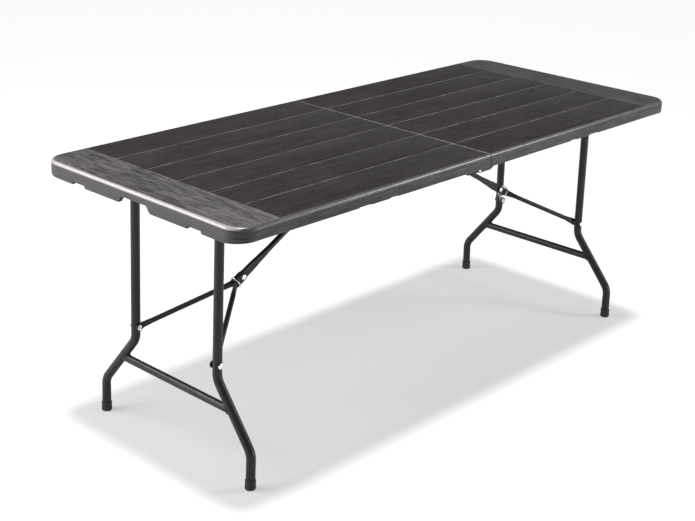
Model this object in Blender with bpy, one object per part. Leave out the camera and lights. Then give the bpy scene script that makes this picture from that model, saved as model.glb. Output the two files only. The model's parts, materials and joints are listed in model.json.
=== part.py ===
"""Folding table: a top in two moulded halves that folds at the middle, on two folding leg frames.

Metres, +Z up. The origin is on the floor under the middle of the top. X runs along the length, Y across it.
Each half carries a leg frame on a cross pivot and a jointed brace, held open by a loose ring at its knuckle.
"""

import math

import bmesh
import bpy
from mathutils import Matrix, Vector

# Overall size
LENGTH = 1.830
WIDTH = 0.760
HEIGHT = 0.740

# Clearances
GAP = 0.0003            # between pieces that touch
SEAM_GAP = 0.0012       # between the two halves of the top

# Moulded top
FIELD_THICKNESS = 0.008
CHANNEL_THICKNESS = 0.004
CHANNEL_HALF_WIDTH = 0.034
CHANNEL_SEAM_MARGIN = 0.003                       # from the seam wall
CHANNEL_PIVOT_MARGIN = 0.090                      # from the leg pivot
SKIRT_THICKNESS = 0.011
CORNER_RADIUS = 0.060
RIM_RADIUS = 0.009
SEAM_RIM_RADIUS = 0.002
LIP_RADIUS = 0.0025
END_SKIRT_DEPTH = 0.042
SIDE_SKIRT_DEPTH = 0.036
SEAM_WALL_DEPTH = 0.030
HINGE_TAB_DEPTH = 0.043
HINGE_TAB_REACH = 0.050
END_NOTCH_DEPTH = 0.035
END_NOTCH_CENTRE = 0.223
END_NOTCH_WIDTH = 0.050
GRIP_RECESS_DEPTH = 0.0245
GRIP_RECESS_WIDTH = 0.090
GRIP_RECESS_SLOPE = 0.017
SIDE_NOTCH_DEPTH = 0.034
SIDE_NOTCHES = ((0.391, 0.028), (0.4965, 0.044))  # distance from the seam, width
STEP_RUN = 0.004
SEAM_STEP = 0.003
RIM_STEPS = 4
CORNER_STEPS = 7

# Side rails, of folded sheet
RAIL_SHEET = 0.0016
RAIL_EDGE_INSET = 0.040                           # web from the edge of the top
RAIL_FLANGE_WIDTH = 0.020
RAIL_HEIGHT = 0.032
RAIL_SEAM_CLEARANCE = 0.0044                      # from the seam wall
RAIL_OUTER_INSET = 0.045
SCREW_POSITIONS = (0.200, 0.640)                  # distance from the seam
SCREW_RADIUS = 0.0024
SCREW_HEAD_RADIUS = 0.005
SCREW_HEAD_HEIGHT = 0.0026
SCREW_BITE = 0.0055

# Middle hinges
HINGE_DROP = 0.052                                # axis below the top face
LEAF_THICKNESS = 0.003
LEAF_RADIUS = 0.009
LEAF_REACH = 0.095
LEAF_NECK = 0.045
LEAF_STEP = 0.004
HINGE_PIN_RADIUS = 0.0035
HINGE_HEAD_RADIUS = 0.0065
HINGE_HEAD_HEIGHT = 0.0022

# Leg frames
LEG_TUBE_RADIUS = 0.0125
TUBE_WALL = 0.0012
LEG_PIVOT_DROP = 0.037                            # pivot axis below the top face
LEG_PIVOT_INSET = 0.133                           # from the end of the top
LEG_SPLAY = 0.020                                 # how far the feet stand outside the pivots
LEG_HALF_SPACING = 0.164
FOOT_EDGE_INSET = 0.084                           # foot from the edge of the top
UPPER_BEND_HEIGHT = 0.259
LOWER_BEND_HEIGHT = 0.098
BEND_RADIUS = 0.050
STRETCHER_RADIUS = 0.011
STRETCHER_HEIGHT = 0.190
SWAGED_RADIUS = 0.008
SWAGE_LENGTH = 0.007
BRACKET_SHEET = 0.0025
BRACKET_LENGTH = 0.048
BRACKET_FLANGE = 0.026
BRACKET_EYE_WALL = 0.0053
BUSH_WALL = 0.0021
BUSH_FLANGE_WIDTH = 0.0029
BUSH_FLANGE_THICKNESS = 0.0015
BUSH_STAND = 0.0014                               # past the outer face of the rail
PIVOT_TUBE_STAND = 0.003                          # past the bush
FOOT_WALL = 0.0017
FOOT_HEIGHT = 0.026
FOOT_SOLE = 0.004
FOOT_EDGE = 0.0015

# Braces
BRACE_TOP_INSET = 0.030                           # cross tube from the seam
BRACE_TOP_DROP = 0.018                            # cross tube below the top face
BRACE_FOLDED_DROP = 0.017                         # knuckle below the top face when folded
CROSS_TUBE_RADIUS = 0.007
CROSS_TUBE_STAND = 0.003                          # past the outer face of the rail
ARM_TUBE_RADIUS = 0.008
ARM_FLAT_HALF_HEIGHT = 0.012
ARM_FLAT_HALF_WIDTH = 0.0055
ARM_EYE_WALL = 0.0037
ARM_EYE_FLAT = 0.012                              # flat length past the cross tube
ARM_EYE_TAPER = 0.048
ARM_END_FLAT = 0.038                              # flat length before the knuckle
ARM_END_TAPER = 0.072
ARM_TAIL = 0.028                                  # flat end past the knuckle
LOWER_ARM_RADIUS = 0.007
LOWER_ARM_NEAR_FLAT = 0.032                       # flat length past the knuckle
LOWER_ARM_FAR_FLAT = 0.012                        # flat length before the leg rivet
STRAP_THICKNESS = 0.003
STRAP_HALF_HEIGHT = 0.0115
STRAP_NARROWING = 0.001                           # of the leg end against the knuckle end
LEG_RIVET_HEIGHT = 0.296
LEG_RIVET_SIDE_CLEARANCE = 0.0011
RIVET_RADIUS = 0.004
RIVET_HEAD_RADIUS = 0.0078
RIVET_HEAD_HEIGHT = 0.0026
RIVET_CROWN = 0.55                                # top of a head against its rim
RING_PLAY = 0.0006                                # round the corners of the arms
RING_WIRE_RADIUS = 0.0015
RING_OFFSET = 0.025                               # past the knuckle, towards the leg

ROUND_SIDES = 12
FINE_SIDES = 16
EYE_STEPS = 8
RING_STEPS = 24
BEND_STEPS = 4
FLAT_SQUARENESS = 7                               # section of a tube pressed flat
STRAP_SQUARENESS = 6
CUT_OVERRUN = 0.002
DRILL_LENGTH = 0.010

# Heights and places that follow from the sizes above
HALF_LENGTH = LENGTH / 2
HALF_WIDTH = WIDTH / 2
FIELD_UNDERSIDE = HEIGHT - FIELD_THICKNESS
HINGE_Z = HEIGHT - HINGE_DROP
PIVOT_Z = HEIGHT - LEG_PIVOT_DROP
PIVOT_X = HALF_LENGTH - LEG_PIVOT_INSET
SPLAY_ANGLE = math.atan2(LEG_SPLAY, PIVOT_Z)
RAIL_TOP = FIELD_UNDERSIDE - GAP
RAIL_WEB_Y = HALF_WIDTH - RAIL_EDGE_INSET
RAIL_OUTER_Y = RAIL_WEB_Y + RAIL_SHEET
RAIL_SEAM_END = SEAM_GAP / 2 + SKIRT_THICKNESS + RAIL_SEAM_CLEARANCE
BRACKET_Y = RAIL_WEB_Y - GAP - BRACKET_SHEET
BUSH_RADIUS = SWAGED_RADIUS + BUSH_WALL
BUSH_START_Y = BRACKET_Y - GAP - BUSH_FLANGE_THICKNESS
BRACKET_EYE_RADIUS = BUSH_RADIUS + 2 * GAP + BRACKET_EYE_WALL
FOOT_HALF_SPACING = HALF_WIDTH - FOOT_EDGE_INSET
FOOT_RADIUS = LEG_TUBE_RADIUS + GAP + FOOT_WALL
ARM_EYE_HALF_HEIGHT = CROSS_TUBE_RADIUS + GAP + ARM_EYE_WALL
RING_RADIUS = (math.hypot(ARM_FLAT_HALF_WIDTH + GAP + STRAP_THICKNESS, ARM_FLAT_HALF_HEIGHT)
               + RING_WIRE_RADIUS + RING_PLAY)
SCREW_Y = RAIL_WEB_Y + RAIL_FLANGE_WIDTH * 0.6

AXIS_X = Vector((1, 0, 0))
AXIS_Y = Vector((0, 1, 0))
AXIS_Z = Vector((0, 0, 1))


# ---------------------------------------------------------------- materials

def material(name, colour, roughness, metallic):
    made = bpy.data.materials.new(name)
    made.use_nodes = True
    shader = made.node_tree.nodes["Principled BSDF"]
    shader.inputs["Base Color"].default_value = (*colour, 1.0)
    shader.inputs["Roughness"].default_value = roughness
    shader.inputs["Metallic"].default_value = metallic
    made.diffuse_color = (*colour, 1.0)
    return made


def make_materials():
    return {
        "moulded": material("moulded_top", (0.062, 0.055, 0.053), 0.50, 0.0),
        "painted": material("painted_steel", (0.034, 0.031, 0.031), 0.35, 0.0),
        "zinc": material("zinc_steel", (0.62, 0.62, 0.60), 0.30, 1.0),
        "rubber": material("foot_rubber", (0.020, 0.020, 0.020), 0.75, 0.0),
        "nylon": material("bush_nylon", (0.045, 0.045, 0.045), 0.55, 0.0),
    }


# ---------------------------------------------------------------- mesh helpers

class Body:
    """Pieces that move together, under an empty on their joint's axis."""

    def __init__(self, name, pivot, parent=None):
        self.pivot = Vector(pivot)
        self.empty = bpy.data.objects.new(name + "_axis", None)
        bpy.context.scene.collection.objects.link(self.empty)
        if parent is None:
            self.empty.location = self.pivot
        else:
            self.empty.parent = parent.empty
            self.empty.location = self.pivot - parent.pivot

    def add(self, name, points, faces, surface, sharp_angle=40.0):
        """A piece from points in world space, with its origin on the body's axis."""
        mesh = bpy.data.meshes.new(name)
        mesh.from_pydata([Vector(p) - self.pivot for p in points], [], faces)
        work = bmesh.new()
        work.from_mesh(mesh)
        bmesh.ops.recalc_face_normals(work, faces=work.faces)
        work.to_mesh(mesh)
        work.free()
        mesh.shade_smooth()
        mesh.set_sharp_from_angle(angle=math.radians(sharp_angle))
        made = bpy.data.objects.new(name, mesh)
        bpy.context.scene.collection.objects.link(made)
        made.parent = self.empty
        if surface is not None:
            mesh.materials.append(surface)
        return made


def ring_faces(first, second, count):
    return [
        (first + i, first + (i + 1) % count, second + (i + 1) % count, second + i)
        for i in range(count)
    ]


def loft(rings, closed_loop=False):
    """Points and faces of a skin over rings of equal count, capped at both ends or joined into a loop."""
    count = len(rings[0])
    points = [p for ring in rings for p in ring]
    faces = []
    for k in range(len(rings) - 1):
        faces += ring_faces(k * count, (k + 1) * count, count)
    last = (len(rings) - 1) * count
    if closed_loop:
        faces += ring_faces(last, 0, count)
    else:
        faces.append(tuple(reversed(range(count))))
        faces.append(tuple(range(last, last + count)))
    return points, faces


def circle(centre, side, up, radius, sides=ROUND_SIDES):
    """A ring of points about centre, in the plane of the unit vectors side and up."""
    return [
        Vector(centre)
        + side * (radius * math.cos(2 * math.pi * (i + 0.5) / sides))
        + up * (radius * math.sin(2 * math.pi * (i + 0.5) / sides))
        for i in range(sides)
    ]


def turned(origin, axis, side, profile, sides=ROUND_SIDES):
    """A solid of revolution: profile holds (distance along axis, radius)."""
    up = axis.cross(side)
    rings = [circle(origin + axis * along, side, up, radius, sides) for along, radius in profile]
    return loft(rings)


def turned_hollow(origin, axis, side, outer, inner, sides=ROUND_SIDES):
    """A turned sleeve: outer and inner profiles, both from the same end to the other."""
    up = axis.cross(side)
    profile = list(outer) + list(reversed(inner))
    rings = [circle(origin + axis * along, side, up, radius, sides) for along, radius in profile]
    return loft(rings, closed_loop=True)


def extruded(outline, start, run):
    """A prism: outline holds world points on one end face, run is the vector to the other end."""
    near = [Vector(p) + start for p in outline]
    far = [p + run for p in near]
    return loft([near, far])


def cut(piece, name, shape):
    """Takes a shape, given as points and faces in world space, away from a piece."""
    cutter = piece_body(piece).add(name, *shape, None)
    cutter.hide_render = True
    cutter.display_type = "WIRE"
    boolean = piece.modifiers.new(name, "BOOLEAN")
    boolean.operation = "DIFFERENCE"
    boolean.solver = "EXACT"
    boolean.object = cutter


def piece_body(piece):
    return BODY_OF_EMPTY[piece.parent.name]


BODY_OF_EMPTY = {}


def new_body(name, pivot, parent=None):
    made = Body(name, pivot, parent)
    BODY_OF_EMPTY[made.empty.name] = made
    return made


def cylinder(centre, axis, radius, length, sides=FINE_SIDES):
    """A plain cylinder centred on a point, for drilling holes."""
    side = AXIS_Z if abs(axis.z) < 0.5 else AXIS_X
    return turned(Vector(centre) - axis * (length / 2), axis, side, ((0, radius), (length, radius)), sides)


def filleted(corners, radius, steps=BEND_STEPS):
    """A path through corners, each inner one rounded by an arc of the given radius."""
    path = [corners[0]]
    for before, corner, after in zip(corners, corners[1:], corners[2:]):
        arrive = (corner - before).normalized()
        leave = (after - corner).normalized()
        turn = arrive.angle(leave)
        tangent = radius * math.tan(turn / 2)
        inward = (leave - arrive).normalized()
        centre = corner + inward * (radius / math.cos(turn / 2))
        normal = arrive.cross(leave).normalized()
        start = corner - arrive * tangent - centre
        for k in range(steps + 1):
            path.append(centre + Matrix.Rotation(turn * k / steps, 3, normal) @ start)
    path.append(corners[-1])
    return path


def path_rings(path, flat_normal, radius, sides=ROUND_SIDES, first=None, last=None):
    """Rings along a flat path. first and last give how far each ring point slides past the path's ends."""
    rings = []
    for i, point in enumerate(path):
        before = path[max(i - 1, 0)]
        after = path[min(i + 1, len(path) - 1)]
        arrive = (point - before).normalized() if i else (after - point).normalized()
        leave = (after - point).normalized() if i < len(path) - 1 else arrive
        along = (arrive + leave).normalized()
        across = flat_normal.cross(along).normalized()
        ring = circle(point, flat_normal, across, radius, sides)
        slide = first if i == 0 else last if i == len(path) - 1 else None
        if slide is not None:
            ring = [p + along * slide(p - point) for p in ring]
        rings.append(ring)
    return rings


def hollow_tube(path, flat_normal, radius, wall, first=None, last=None):
    outer = path_rings(path, flat_normal, radius, first=first, last=last)
    inner = path_rings(path, flat_normal, radius - wall, first=first, last=last)
    return loft(outer + inner[::-1], closed_loop=True)


def section(centre, side, up, half_width, half_height, squareness, sides=FINE_SIDES):
    """A ring between an ellipse (squareness 2) and a rectangle (large squareness)."""
    ring = []
    for i in range(sides):
        angle = 2 * math.pi * (i + 0.5) / sides
        c, s = math.cos(angle), math.sin(angle)
        ring.append(
            Vector(centre)
            + side * (half_width * math.copysign(abs(c) ** (2 / squareness), c))
            + up * (half_height * math.copysign(abs(s) ** (2 / squareness), s))
        )
    return ring


# ---------------------------------------------------------------- the moulded top

def step_pairs(centre, width, depth, base):
    """Four (place, depth) pairs of one notch with short sloping sides."""
    near, far = centre - width / 2, centre + width / 2
    return [(near - STEP_RUN / 2, base), (near + STEP_RUN / 2, depth),
            (far - STEP_RUN / 2, depth), (far + STEP_RUN / 2, base)]


def side_profile(with_tab):
    """Skirt depth along a long side, by distance from the seam."""
    pairs = []
    if with_tab:
        pairs += [(0.006, SIDE_SKIRT_DEPTH), (0.012, HINGE_TAB_DEPTH),
                  (0.018, HINGE_TAB_DEPTH), (HINGE_TAB_REACH, SIDE_SKIRT_DEPTH)]
    for centre, width in SIDE_NOTCHES:
        pairs += step_pairs(centre, width, SIDE_NOTCH_DEPTH, SIDE_SKIRT_DEPTH)
    return pairs


def end_profile():
    """Skirt depth along the end, from one corner to the other."""
    notch = step_pairs(END_NOTCH_CENTRE, END_NOTCH_WIDTH, END_NOTCH_DEPTH, END_SKIRT_DEPTH)
    grip = [(GRIP_RECESS_WIDTH / 2, GRIP_RECESS_DEPTH),
            (GRIP_RECESS_WIDTH / 2 + GRIP_RECESS_SLOPE, END_SKIRT_DEPTH)]
    half = grip + notch
    return [(-place, depth) for place, depth in reversed(half)] + half


def rounded_corner(corner, out_x, out_y, inset, start_angle, depths):
    """Points round a plan corner, inset from its edge. The skirt depth eases from one side to the next."""
    centre = (corner[0] - out_x * CORNER_RADIUS, corner[1] - out_y * CORNER_RADIUS)
    points = []
    for k in range(CORNER_STEPS + 1):
        angle = math.radians(start_angle + 90 * k / CORNER_STEPS)
        depth = depths[0] + (depths[1] - depths[0]) * k / CORNER_STEPS
        points.append((centre[0] + (CORNER_RADIUS - inset) * math.cos(angle),
                       centre[1] + (CORNER_RADIUS - inset) * math.sin(angle), depth))
    return points


def side_points(profile, seam_x, edge_y):
    """Points along a long side from the seam outwards, kept clear of the seam wall's own thickness."""
    points = [(-seam_x, edge_y, SEAM_WALL_DEPTH), (-seam_x - SEAM_STEP, edge_y, SIDE_SKIRT_DEPTH)]
    for k, (place, depth) in enumerate(profile):
        nearest = seam_x + SEAM_STEP + SEAM_STEP * (k + 1) / 5
        points.append((-max(place, nearest), edge_y, depth))
    return points


def panel_outline(inset, seam_inset):
    """Plan points round the half at -X, each with its skirt depth, anticlockwise from the seam."""
    seam_x = SEAM_GAP / 2 + seam_inset
    edge_y = HALF_WIDTH - inset
    end_x = -HALF_LENGTH + inset
    points = side_points(side_profile(False), seam_x, edge_y)
    depths = (SIDE_SKIRT_DEPTH, END_SKIRT_DEPTH)
    points += rounded_corner((-HALF_LENGTH, HALF_WIDTH), -1, 1, inset, 90, depths)
    points += [(end_x, place, depth) for place, depth in reversed(end_profile())]
    points += rounded_corner((-HALF_LENGTH, -HALF_WIDTH), -1, -1, inset, 180, depths[::-1])
    points += reversed(side_points(side_profile(True), seam_x, -edge_y))
    return points


def panel_shape(side):
    """One half of the top: a field, a rounded rim and a skirt whose lower edge steps up and down."""
    rings = []
    for k in range(RIM_STEPS + 1):
        angle = math.radians(90 * k / RIM_STEPS)
        drop = 1 - math.cos(angle)
        inset = 1 - math.sin(angle)
        outline = panel_outline(RIM_RADIUS * inset, SEAM_RIM_RADIUS * inset)
        rings.append([(x, y, HEIGHT - RIM_RADIUS * drop) for x, y, depth in outline])
    skirt = ((0.0, -LIP_RADIUS), (LIP_RADIUS, 0.0), (SKIRT_THICKNESS - LIP_RADIUS, 0.0))
    for inset, lift in skirt:
        rings.append([(x, y, HEIGHT - depth - lift) for x, y, depth in panel_outline(inset, inset)])
    rings.append([(x, y, FIELD_UNDERSIDE) for x, y, depth in panel_outline(SKIRT_THICKNESS, SKIRT_THICKNESS)])
    return loft([[Vector((*turned_half(x, y, side), z)) for x, y, z in ring] for ring in rings])


def turned_half(x, y, side):
    """The two halves are the same moulding, one turned half a turn about Z."""
    return (x, y) if side < 0 else (-x, -y)


def add_panel(body, name, side, surface):
    panel = body.add(name, *panel_shape(side), surface, 30.0)
    near = SEAM_GAP + SKIRT_THICKNESS + CHANNEL_SEAM_MARGIN
    far = PIVOT_X - CHANNEL_PIVOT_MARGIN
    mouth, roof = FIELD_UNDERSIDE - CUT_OVERRUN, HEIGHT - CHANNEL_THICKNESS
    corners = ((-1, mouth), (1, mouth), (1, roof), (-1, roof))
    channel = [(side * near, y_side * CHANNEL_HALF_WIDTH, z) for y_side, z in corners]
    cut(panel, name + "_channel", extruded(channel, Vector(), AXIS_X * (side * (far - near))))
    for y_side in (-1, 1):
        for place in SCREW_POSITIONS:
            hole = (side * place, y_side * SCREW_Y, FIELD_UNDERSIDE)
            pilot = cylinder(hole, AXIS_Z, SCREW_RADIUS + GAP, 2 * SCREW_BITE, ROUND_SIDES)
            cut(panel, name + "_pilot", pilot)
    return panel


# ---------------------------------------------------------------- rails, screws and cross tubes under the top

def add_rail(body, name, side, y_side, surface):
    """A folded angle along one side: a web that carries the cross tubes and a flange against the top."""
    inner, outer = RAIL_WEB_Y, RAIL_OUTER_Y
    edge = RAIL_WEB_Y + RAIL_FLANGE_WIDTH
    bottom = RAIL_TOP - RAIL_HEIGHT
    below = RAIL_TOP - RAIL_SHEET
    profile = [(inner, bottom), (outer, bottom), (outer, below), (edge, below),
               (edge, RAIL_TOP), (inner, RAIL_TOP)]
    start = [Vector((side * RAIL_SEAM_END, y_side * y, z)) for y, z in profile]
    run = AXIS_X * (side * (HALF_LENGTH - RAIL_OUTER_INSET - RAIL_SEAM_END))
    rail = body.add(name, *extruded(start, Vector(), run), surface)
    web = y_side * (inner + outer) / 2
    cross = (side * BRACE_TOP_INSET, web, HEIGHT - BRACE_TOP_DROP)
    cut(rail, name + "_cross_hole", cylinder(cross, AXIS_Y, CROSS_TUBE_RADIUS + GAP, DRILL_LENGTH))
    pivot = (side * PIVOT_X, web, PIVOT_Z)
    cut(rail, name + "_bush_notch", cylinder(pivot, AXIS_Y, BUSH_RADIUS + 3 * GAP, DRILL_LENGTH))
    for place in SCREW_POSITIONS:
        screw = (side * place, y_side * SCREW_Y, RAIL_TOP)
        hole = cylinder(screw, AXIS_Z, SCREW_RADIUS + GAP, DRILL_LENGTH, ROUND_SIDES)
        cut(rail, name + "_screw_hole", hole)
    return rail


def add_rail_screw(body, name, side, y_side, place, surface):
    """A pan head screw, driven up through the flange into the top."""
    seat = RAIL_TOP - RAIL_SHEET - GAP
    head = Vector((side * place, y_side * SCREW_Y, seat - SCREW_HEAD_HEIGHT))
    tip = FIELD_UNDERSIDE + SCREW_BITE - 2 * GAP - head.z
    profile = [(0.0, SCREW_HEAD_RADIUS * 0.7), (SCREW_HEAD_HEIGHT * 0.4, SCREW_HEAD_RADIUS),
               (SCREW_HEAD_HEIGHT, SCREW_HEAD_RADIUS), (SCREW_HEAD_HEIGHT, SCREW_RADIUS),
               (tip - 0.0015, SCREW_RADIUS), (tip, SCREW_RADIUS * 0.4)]
    return body.add(name, *turned(head, AXIS_Z, AXIS_X, profile, 8), surface)


def add_cross_tube(body, name, side, surface):
    """The tube that the brace's upper arm turns on, held in both rails."""
    centre = Vector((side * BRACE_TOP_INSET, 0, HEIGHT - BRACE_TOP_DROP))
    reach = RAIL_OUTER_Y + CROSS_TUBE_STAND
    start = centre - AXIS_Y * reach
    outer = [(0, CROSS_TUBE_RADIUS), (2 * reach, CROSS_TUBE_RADIUS)]
    inner = [(0, CROSS_TUBE_RADIUS - TUBE_WALL), (2 * reach, CROSS_TUBE_RADIUS - TUBE_WALL)]
    return body.add(name, *turned_hollow(start, AXIS_Y, AXIS_X, outer, inner, FINE_SIDES), surface)


def eye_arc(radius, start, end):
    """Points in the XZ plane on an arc about the origin, between two angles in degrees."""
    angles = [math.radians(start + (end - start) * k / EYE_STEPS) for k in range(EYE_STEPS + 1)]
    return [Vector((radius * math.cos(angle), 0, radius * math.sin(angle))) for angle in angles]


def add_pivot_bracket(body, name, side, y_side, surface):
    """A pressed angle beside the rail that carries the leg frame's pivot bush."""
    axis = Vector((side * PIVOT_X, 0, PIVOT_Z))
    half = BRACKET_LENGTH / 2
    top = RAIL_TOP - PIVOT_Z
    outline = [Vector((-half, 0, top)), Vector((half, 0, top))]
    outline += eye_arc(BRACKET_EYE_RADIUS, 0, -180)
    web = [axis + p + AXIS_Y * (y_side * BRACKET_Y) for p in outline]
    bracket = body.add(name, *extruded(web, Vector(), AXIS_Y * (y_side * BRACKET_SHEET)), surface)
    flange = [axis + Vector((x, y_side * (BRACKET_Y + BRACKET_SHEET / 5), top - z))
              for x, z in ((-half, 0), (half, 0), (half, BRACKET_SHEET), (-half, BRACKET_SHEET))]
    join(bracket, name + "_flange", extruded(flange, Vector(), AXIS_Y * (-y_side * BRACKET_FLANGE)))
    eye = axis + AXIS_Y * (y_side * (BRACKET_Y + BRACKET_SHEET / 2))
    cut(bracket, name + "_bush_hole", cylinder(eye, AXIS_Y, BUSH_RADIUS + 2 * GAP, DRILL_LENGTH))
    return bracket


def join(piece, name, shape):
    """Adds a shape, given as points and faces in world space, to a piece."""
    addition = piece_body(piece).add(name, *shape, None)
    addition.hide_render = True
    addition.display_type = "WIRE"
    boolean = piece.modifiers.new(name, "BOOLEAN")
    boolean.operation = "UNION"
    boolean.solver = "EXACT"
    boolean.object = addition


def add_pivot_bush(body, name, side, y_side, surface):
    """A flanged sleeve in the bracket, round the swaged end of the pivot tube."""
    bore = SWAGED_RADIUS + GAP
    flange = BUSH_RADIUS + BUSH_FLANGE_WIDTH
    length = RAIL_OUTER_Y + BUSH_STAND - BUSH_START_Y
    origin = Vector((side * PIVOT_X, y_side * BUSH_START_Y, PIVOT_Z))
    outer = [(0, flange), (BUSH_FLANGE_THICKNESS, flange),
             (BUSH_FLANGE_THICKNESS, BUSH_RADIUS), (length, BUSH_RADIUS)]
    inner = [(0, bore), (BUSH_FLANGE_THICKNESS / 2, bore), (BUSH_FLANGE_THICKNESS, bore), (length, bore)]
    return body.add(name, *turned_hollow(origin, AXIS_Y * y_side, AXIS_X, outer, inner, FINE_SIDES), surface)


# ---------------------------------------------------------------- middle hinges

def leaf_outline():
    """The side view of a hinge leaf that reaches towards +X, about its pin."""
    fixed_top = RAIL_TOP - RAIL_SHEET - GAP - HINGE_Z
    fixed_bottom = RAIL_TOP - RAIL_HEIGHT - HINGE_Z
    points = [Vector((LEAF_REACH, 0, fixed_bottom)), Vector((LEAF_REACH, 0, fixed_top)),
              Vector((LEAF_NECK + LEAF_STEP, 0, fixed_top)), Vector((LEAF_NECK, 0, LEAF_RADIUS + LEAF_STEP))]
    points += eye_arc(LEAF_RADIUS, 90, 270)
    points.append(Vector((LEAF_NECK, 0, -LEAF_RADIUS)))
    return points


def add_hinge_leaf(body, name, side, y_side, surface):
    """The left leaf lies inside the rail's web and the right leaf outside it."""
    inside = RAIL_WEB_Y - GAP - LEAF_THICKNESS
    outside = RAIL_OUTER_Y + GAP
    near = inside if side < 0 else outside
    outline = [Vector((side * p.x, y_side * near, HINGE_Z + p.z)) for p in leaf_outline()]
    leaf = body.add(name, *extruded(outline, Vector(), AXIS_Y * (y_side * LEAF_THICKNESS)), surface)
    pin = (0, y_side * (near + LEAF_THICKNESS / 2), HINGE_Z)
    cut(leaf, name + "_pin_hole", cylinder(pin, AXIS_Y, HINGE_PIN_RADIUS + GAP, DRILL_LENGTH))
    return leaf


def add_hinge_pin(body, name, y_side, surface):
    """A riveted pin with a shoulder that keeps the two leaves a sheet's thickness apart."""
    inner_face = RAIL_WEB_Y - GAP - LEAF_THICKNESS
    outer_face = RAIL_OUTER_Y + GAP + LEAF_THICKNESS
    start = inner_face - GAP - HINGE_HEAD_HEIGHT
    end = outer_face + GAP + HINGE_HEAD_HEIGHT
    places = [
        (start, HINGE_HEAD_RADIUS * 0.6), (start + HINGE_HEAD_HEIGHT * 0.5, HINGE_HEAD_RADIUS),
        (inner_face - GAP, HINGE_HEAD_RADIUS), (inner_face - GAP, HINGE_PIN_RADIUS),
        (RAIL_WEB_Y, HINGE_PIN_RADIUS), (RAIL_WEB_Y, HINGE_HEAD_RADIUS),
        (RAIL_OUTER_Y, HINGE_HEAD_RADIUS), (RAIL_OUTER_Y, HINGE_PIN_RADIUS),
        (outer_face + GAP, HINGE_PIN_RADIUS), (outer_face + GAP, HINGE_HEAD_RADIUS),
        (end - HINGE_HEAD_HEIGHT * 0.5, HINGE_HEAD_RADIUS), (end, HINGE_HEAD_RADIUS * 0.6),
    ]
    profile = [(place - start, radius) for place, radius in places]
    origin = Vector((0, y_side * start, HINGE_Z))
    return body.add(name, *turned(origin, AXIS_Y * y_side, AXIS_X, profile), surface)


# ---------------------------------------------------------------- leg frames

class LegPlane:
    """The flat plane of one leg frame: w runs from the pivot down the legs, and y across the table."""

    def __init__(self, side):
        self.side = side
        self.pivot = Vector((side * PIVOT_X, 0, PIVOT_Z))
        self.down = Vector((side * math.sin(SPLAY_ANGLE), 0, -math.cos(SPLAY_ANGLE)))
        self.out = Vector((side * math.cos(SPLAY_ANGLE), 0, math.sin(SPLAY_ANGLE)))
        self.length = PIVOT_Z / math.cos(SPLAY_ANGLE)

    def at(self, y, w):
        return self.pivot + AXIS_Y * y + self.down * w

    def w_at_height(self, z):
        return (PIVOT_Z - z) / math.cos(SPLAY_ANGLE)


def leg_corners(plane, y_side):
    foot = plane.length - FOOT_SOLE - GAP
    return [
        plane.at(y_side * LEG_HALF_SPACING, 0),
        plane.at(y_side * LEG_HALF_SPACING, plane.w_at_height(UPPER_BEND_HEIGHT)),
        plane.at(y_side * FOOT_HALF_SPACING, plane.w_at_height(LOWER_BEND_HEIGHT)),
        plane.at(y_side * FOOT_HALF_SPACING, foot),
    ]


def cope_radius(radius):
    """The radius that a shaped tube end clears, so that its straight facets stay off a round tube."""
    return (radius + GAP) / math.cos(math.pi / ROUND_SIDES)


def cope(plane, radius):
    """How far a tube's edge stands back from the axis of a tube of this radius that it meets squarely."""
    def slide(offset):
        reach = offset.dot(plane.out)
        return math.sqrt(max(radius * radius - reach * reach, 0.0))
    return slide


def add_leg_tube(body, name, plane, y_side, surface):
    """A tube that drops from the pivot tube, slants outward and then runs straight down to the foot."""
    path = filleted(leg_corners(plane, y_side), BEND_RADIUS)
    top = cope(plane, cope_radius(LEG_TUBE_RADIUS))
    leg = body.add(name, *hollow_tube(path, plane.out, LEG_TUBE_RADIUS, TUBE_WALL, first=top), surface)
    rivet = plane.at(y_side * LEG_HALF_SPACING, plane.w_at_height(LEG_RIVET_HEIGHT))
    cut(leg, name + "_rivet_hole", cylinder(rivet, AXIS_Y, RIVET_RADIUS + GAP, 3 * LEG_TUBE_RADIUS))
    return leg


def add_pivot_tube(body, name, plane, surface):
    """The tube across the top of a leg frame, with swaged ends that turn in the bushes."""
    reach = RAIL_OUTER_Y + BUSH_STAND + PIVOT_TUBE_STAND
    shoulder = BUSH_START_Y - 2 * GAP
    half = [(shoulder - SWAGE_LENGTH, LEG_TUBE_RADIUS), (shoulder, SWAGED_RADIUS), (reach, SWAGED_RADIUS)]
    outer = [(reach - y, r) for y, r in reversed(half)] + [(reach + y, r) for y, r in half]
    inner = [(along, radius - TUBE_WALL) for along, radius in outer]
    origin = plane.at(-reach, 0)
    return body.add(name, *turned_hollow(origin, AXIS_Y, AXIS_X, outer, inner, FINE_SIDES), surface)


def add_stretcher(body, name, plane, surface):
    """The bar between the slanting legs, its ends shaped to lie on them."""
    w = plane.w_at_height(STRETCHER_HEIGHT)
    w_top, w_low = plane.w_at_height(UPPER_BEND_HEIGHT), plane.w_at_height(LOWER_BEND_HEIGHT)
    share = (w - w_top) / (w_low - w_top)
    y_leg = LEG_HALF_SPACING + (FOOT_HALF_SPACING - LEG_HALF_SPACING) * share
    slant = math.atan2(FOOT_HALF_SPACING - LEG_HALF_SPACING, w_low - w_top)
    radius = cope_radius(LEG_TUBE_RADIUS)

    def slide(y_side):
        def back(offset):
            across = offset.dot(plane.out)
            lower = offset.dot(plane.down)
            return y_side * (lower * math.tan(slant) - math.sqrt(radius ** 2 - across ** 2) / math.cos(slant))
        return back

    path = [plane.at(-y_leg, w), plane.at(y_leg, w)]
    tube = hollow_tube(path, plane.out, STRETCHER_RADIUS, TUBE_WALL, first=slide(-1), last=slide(1))
    return body.add(name, *tube, surface)


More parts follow.
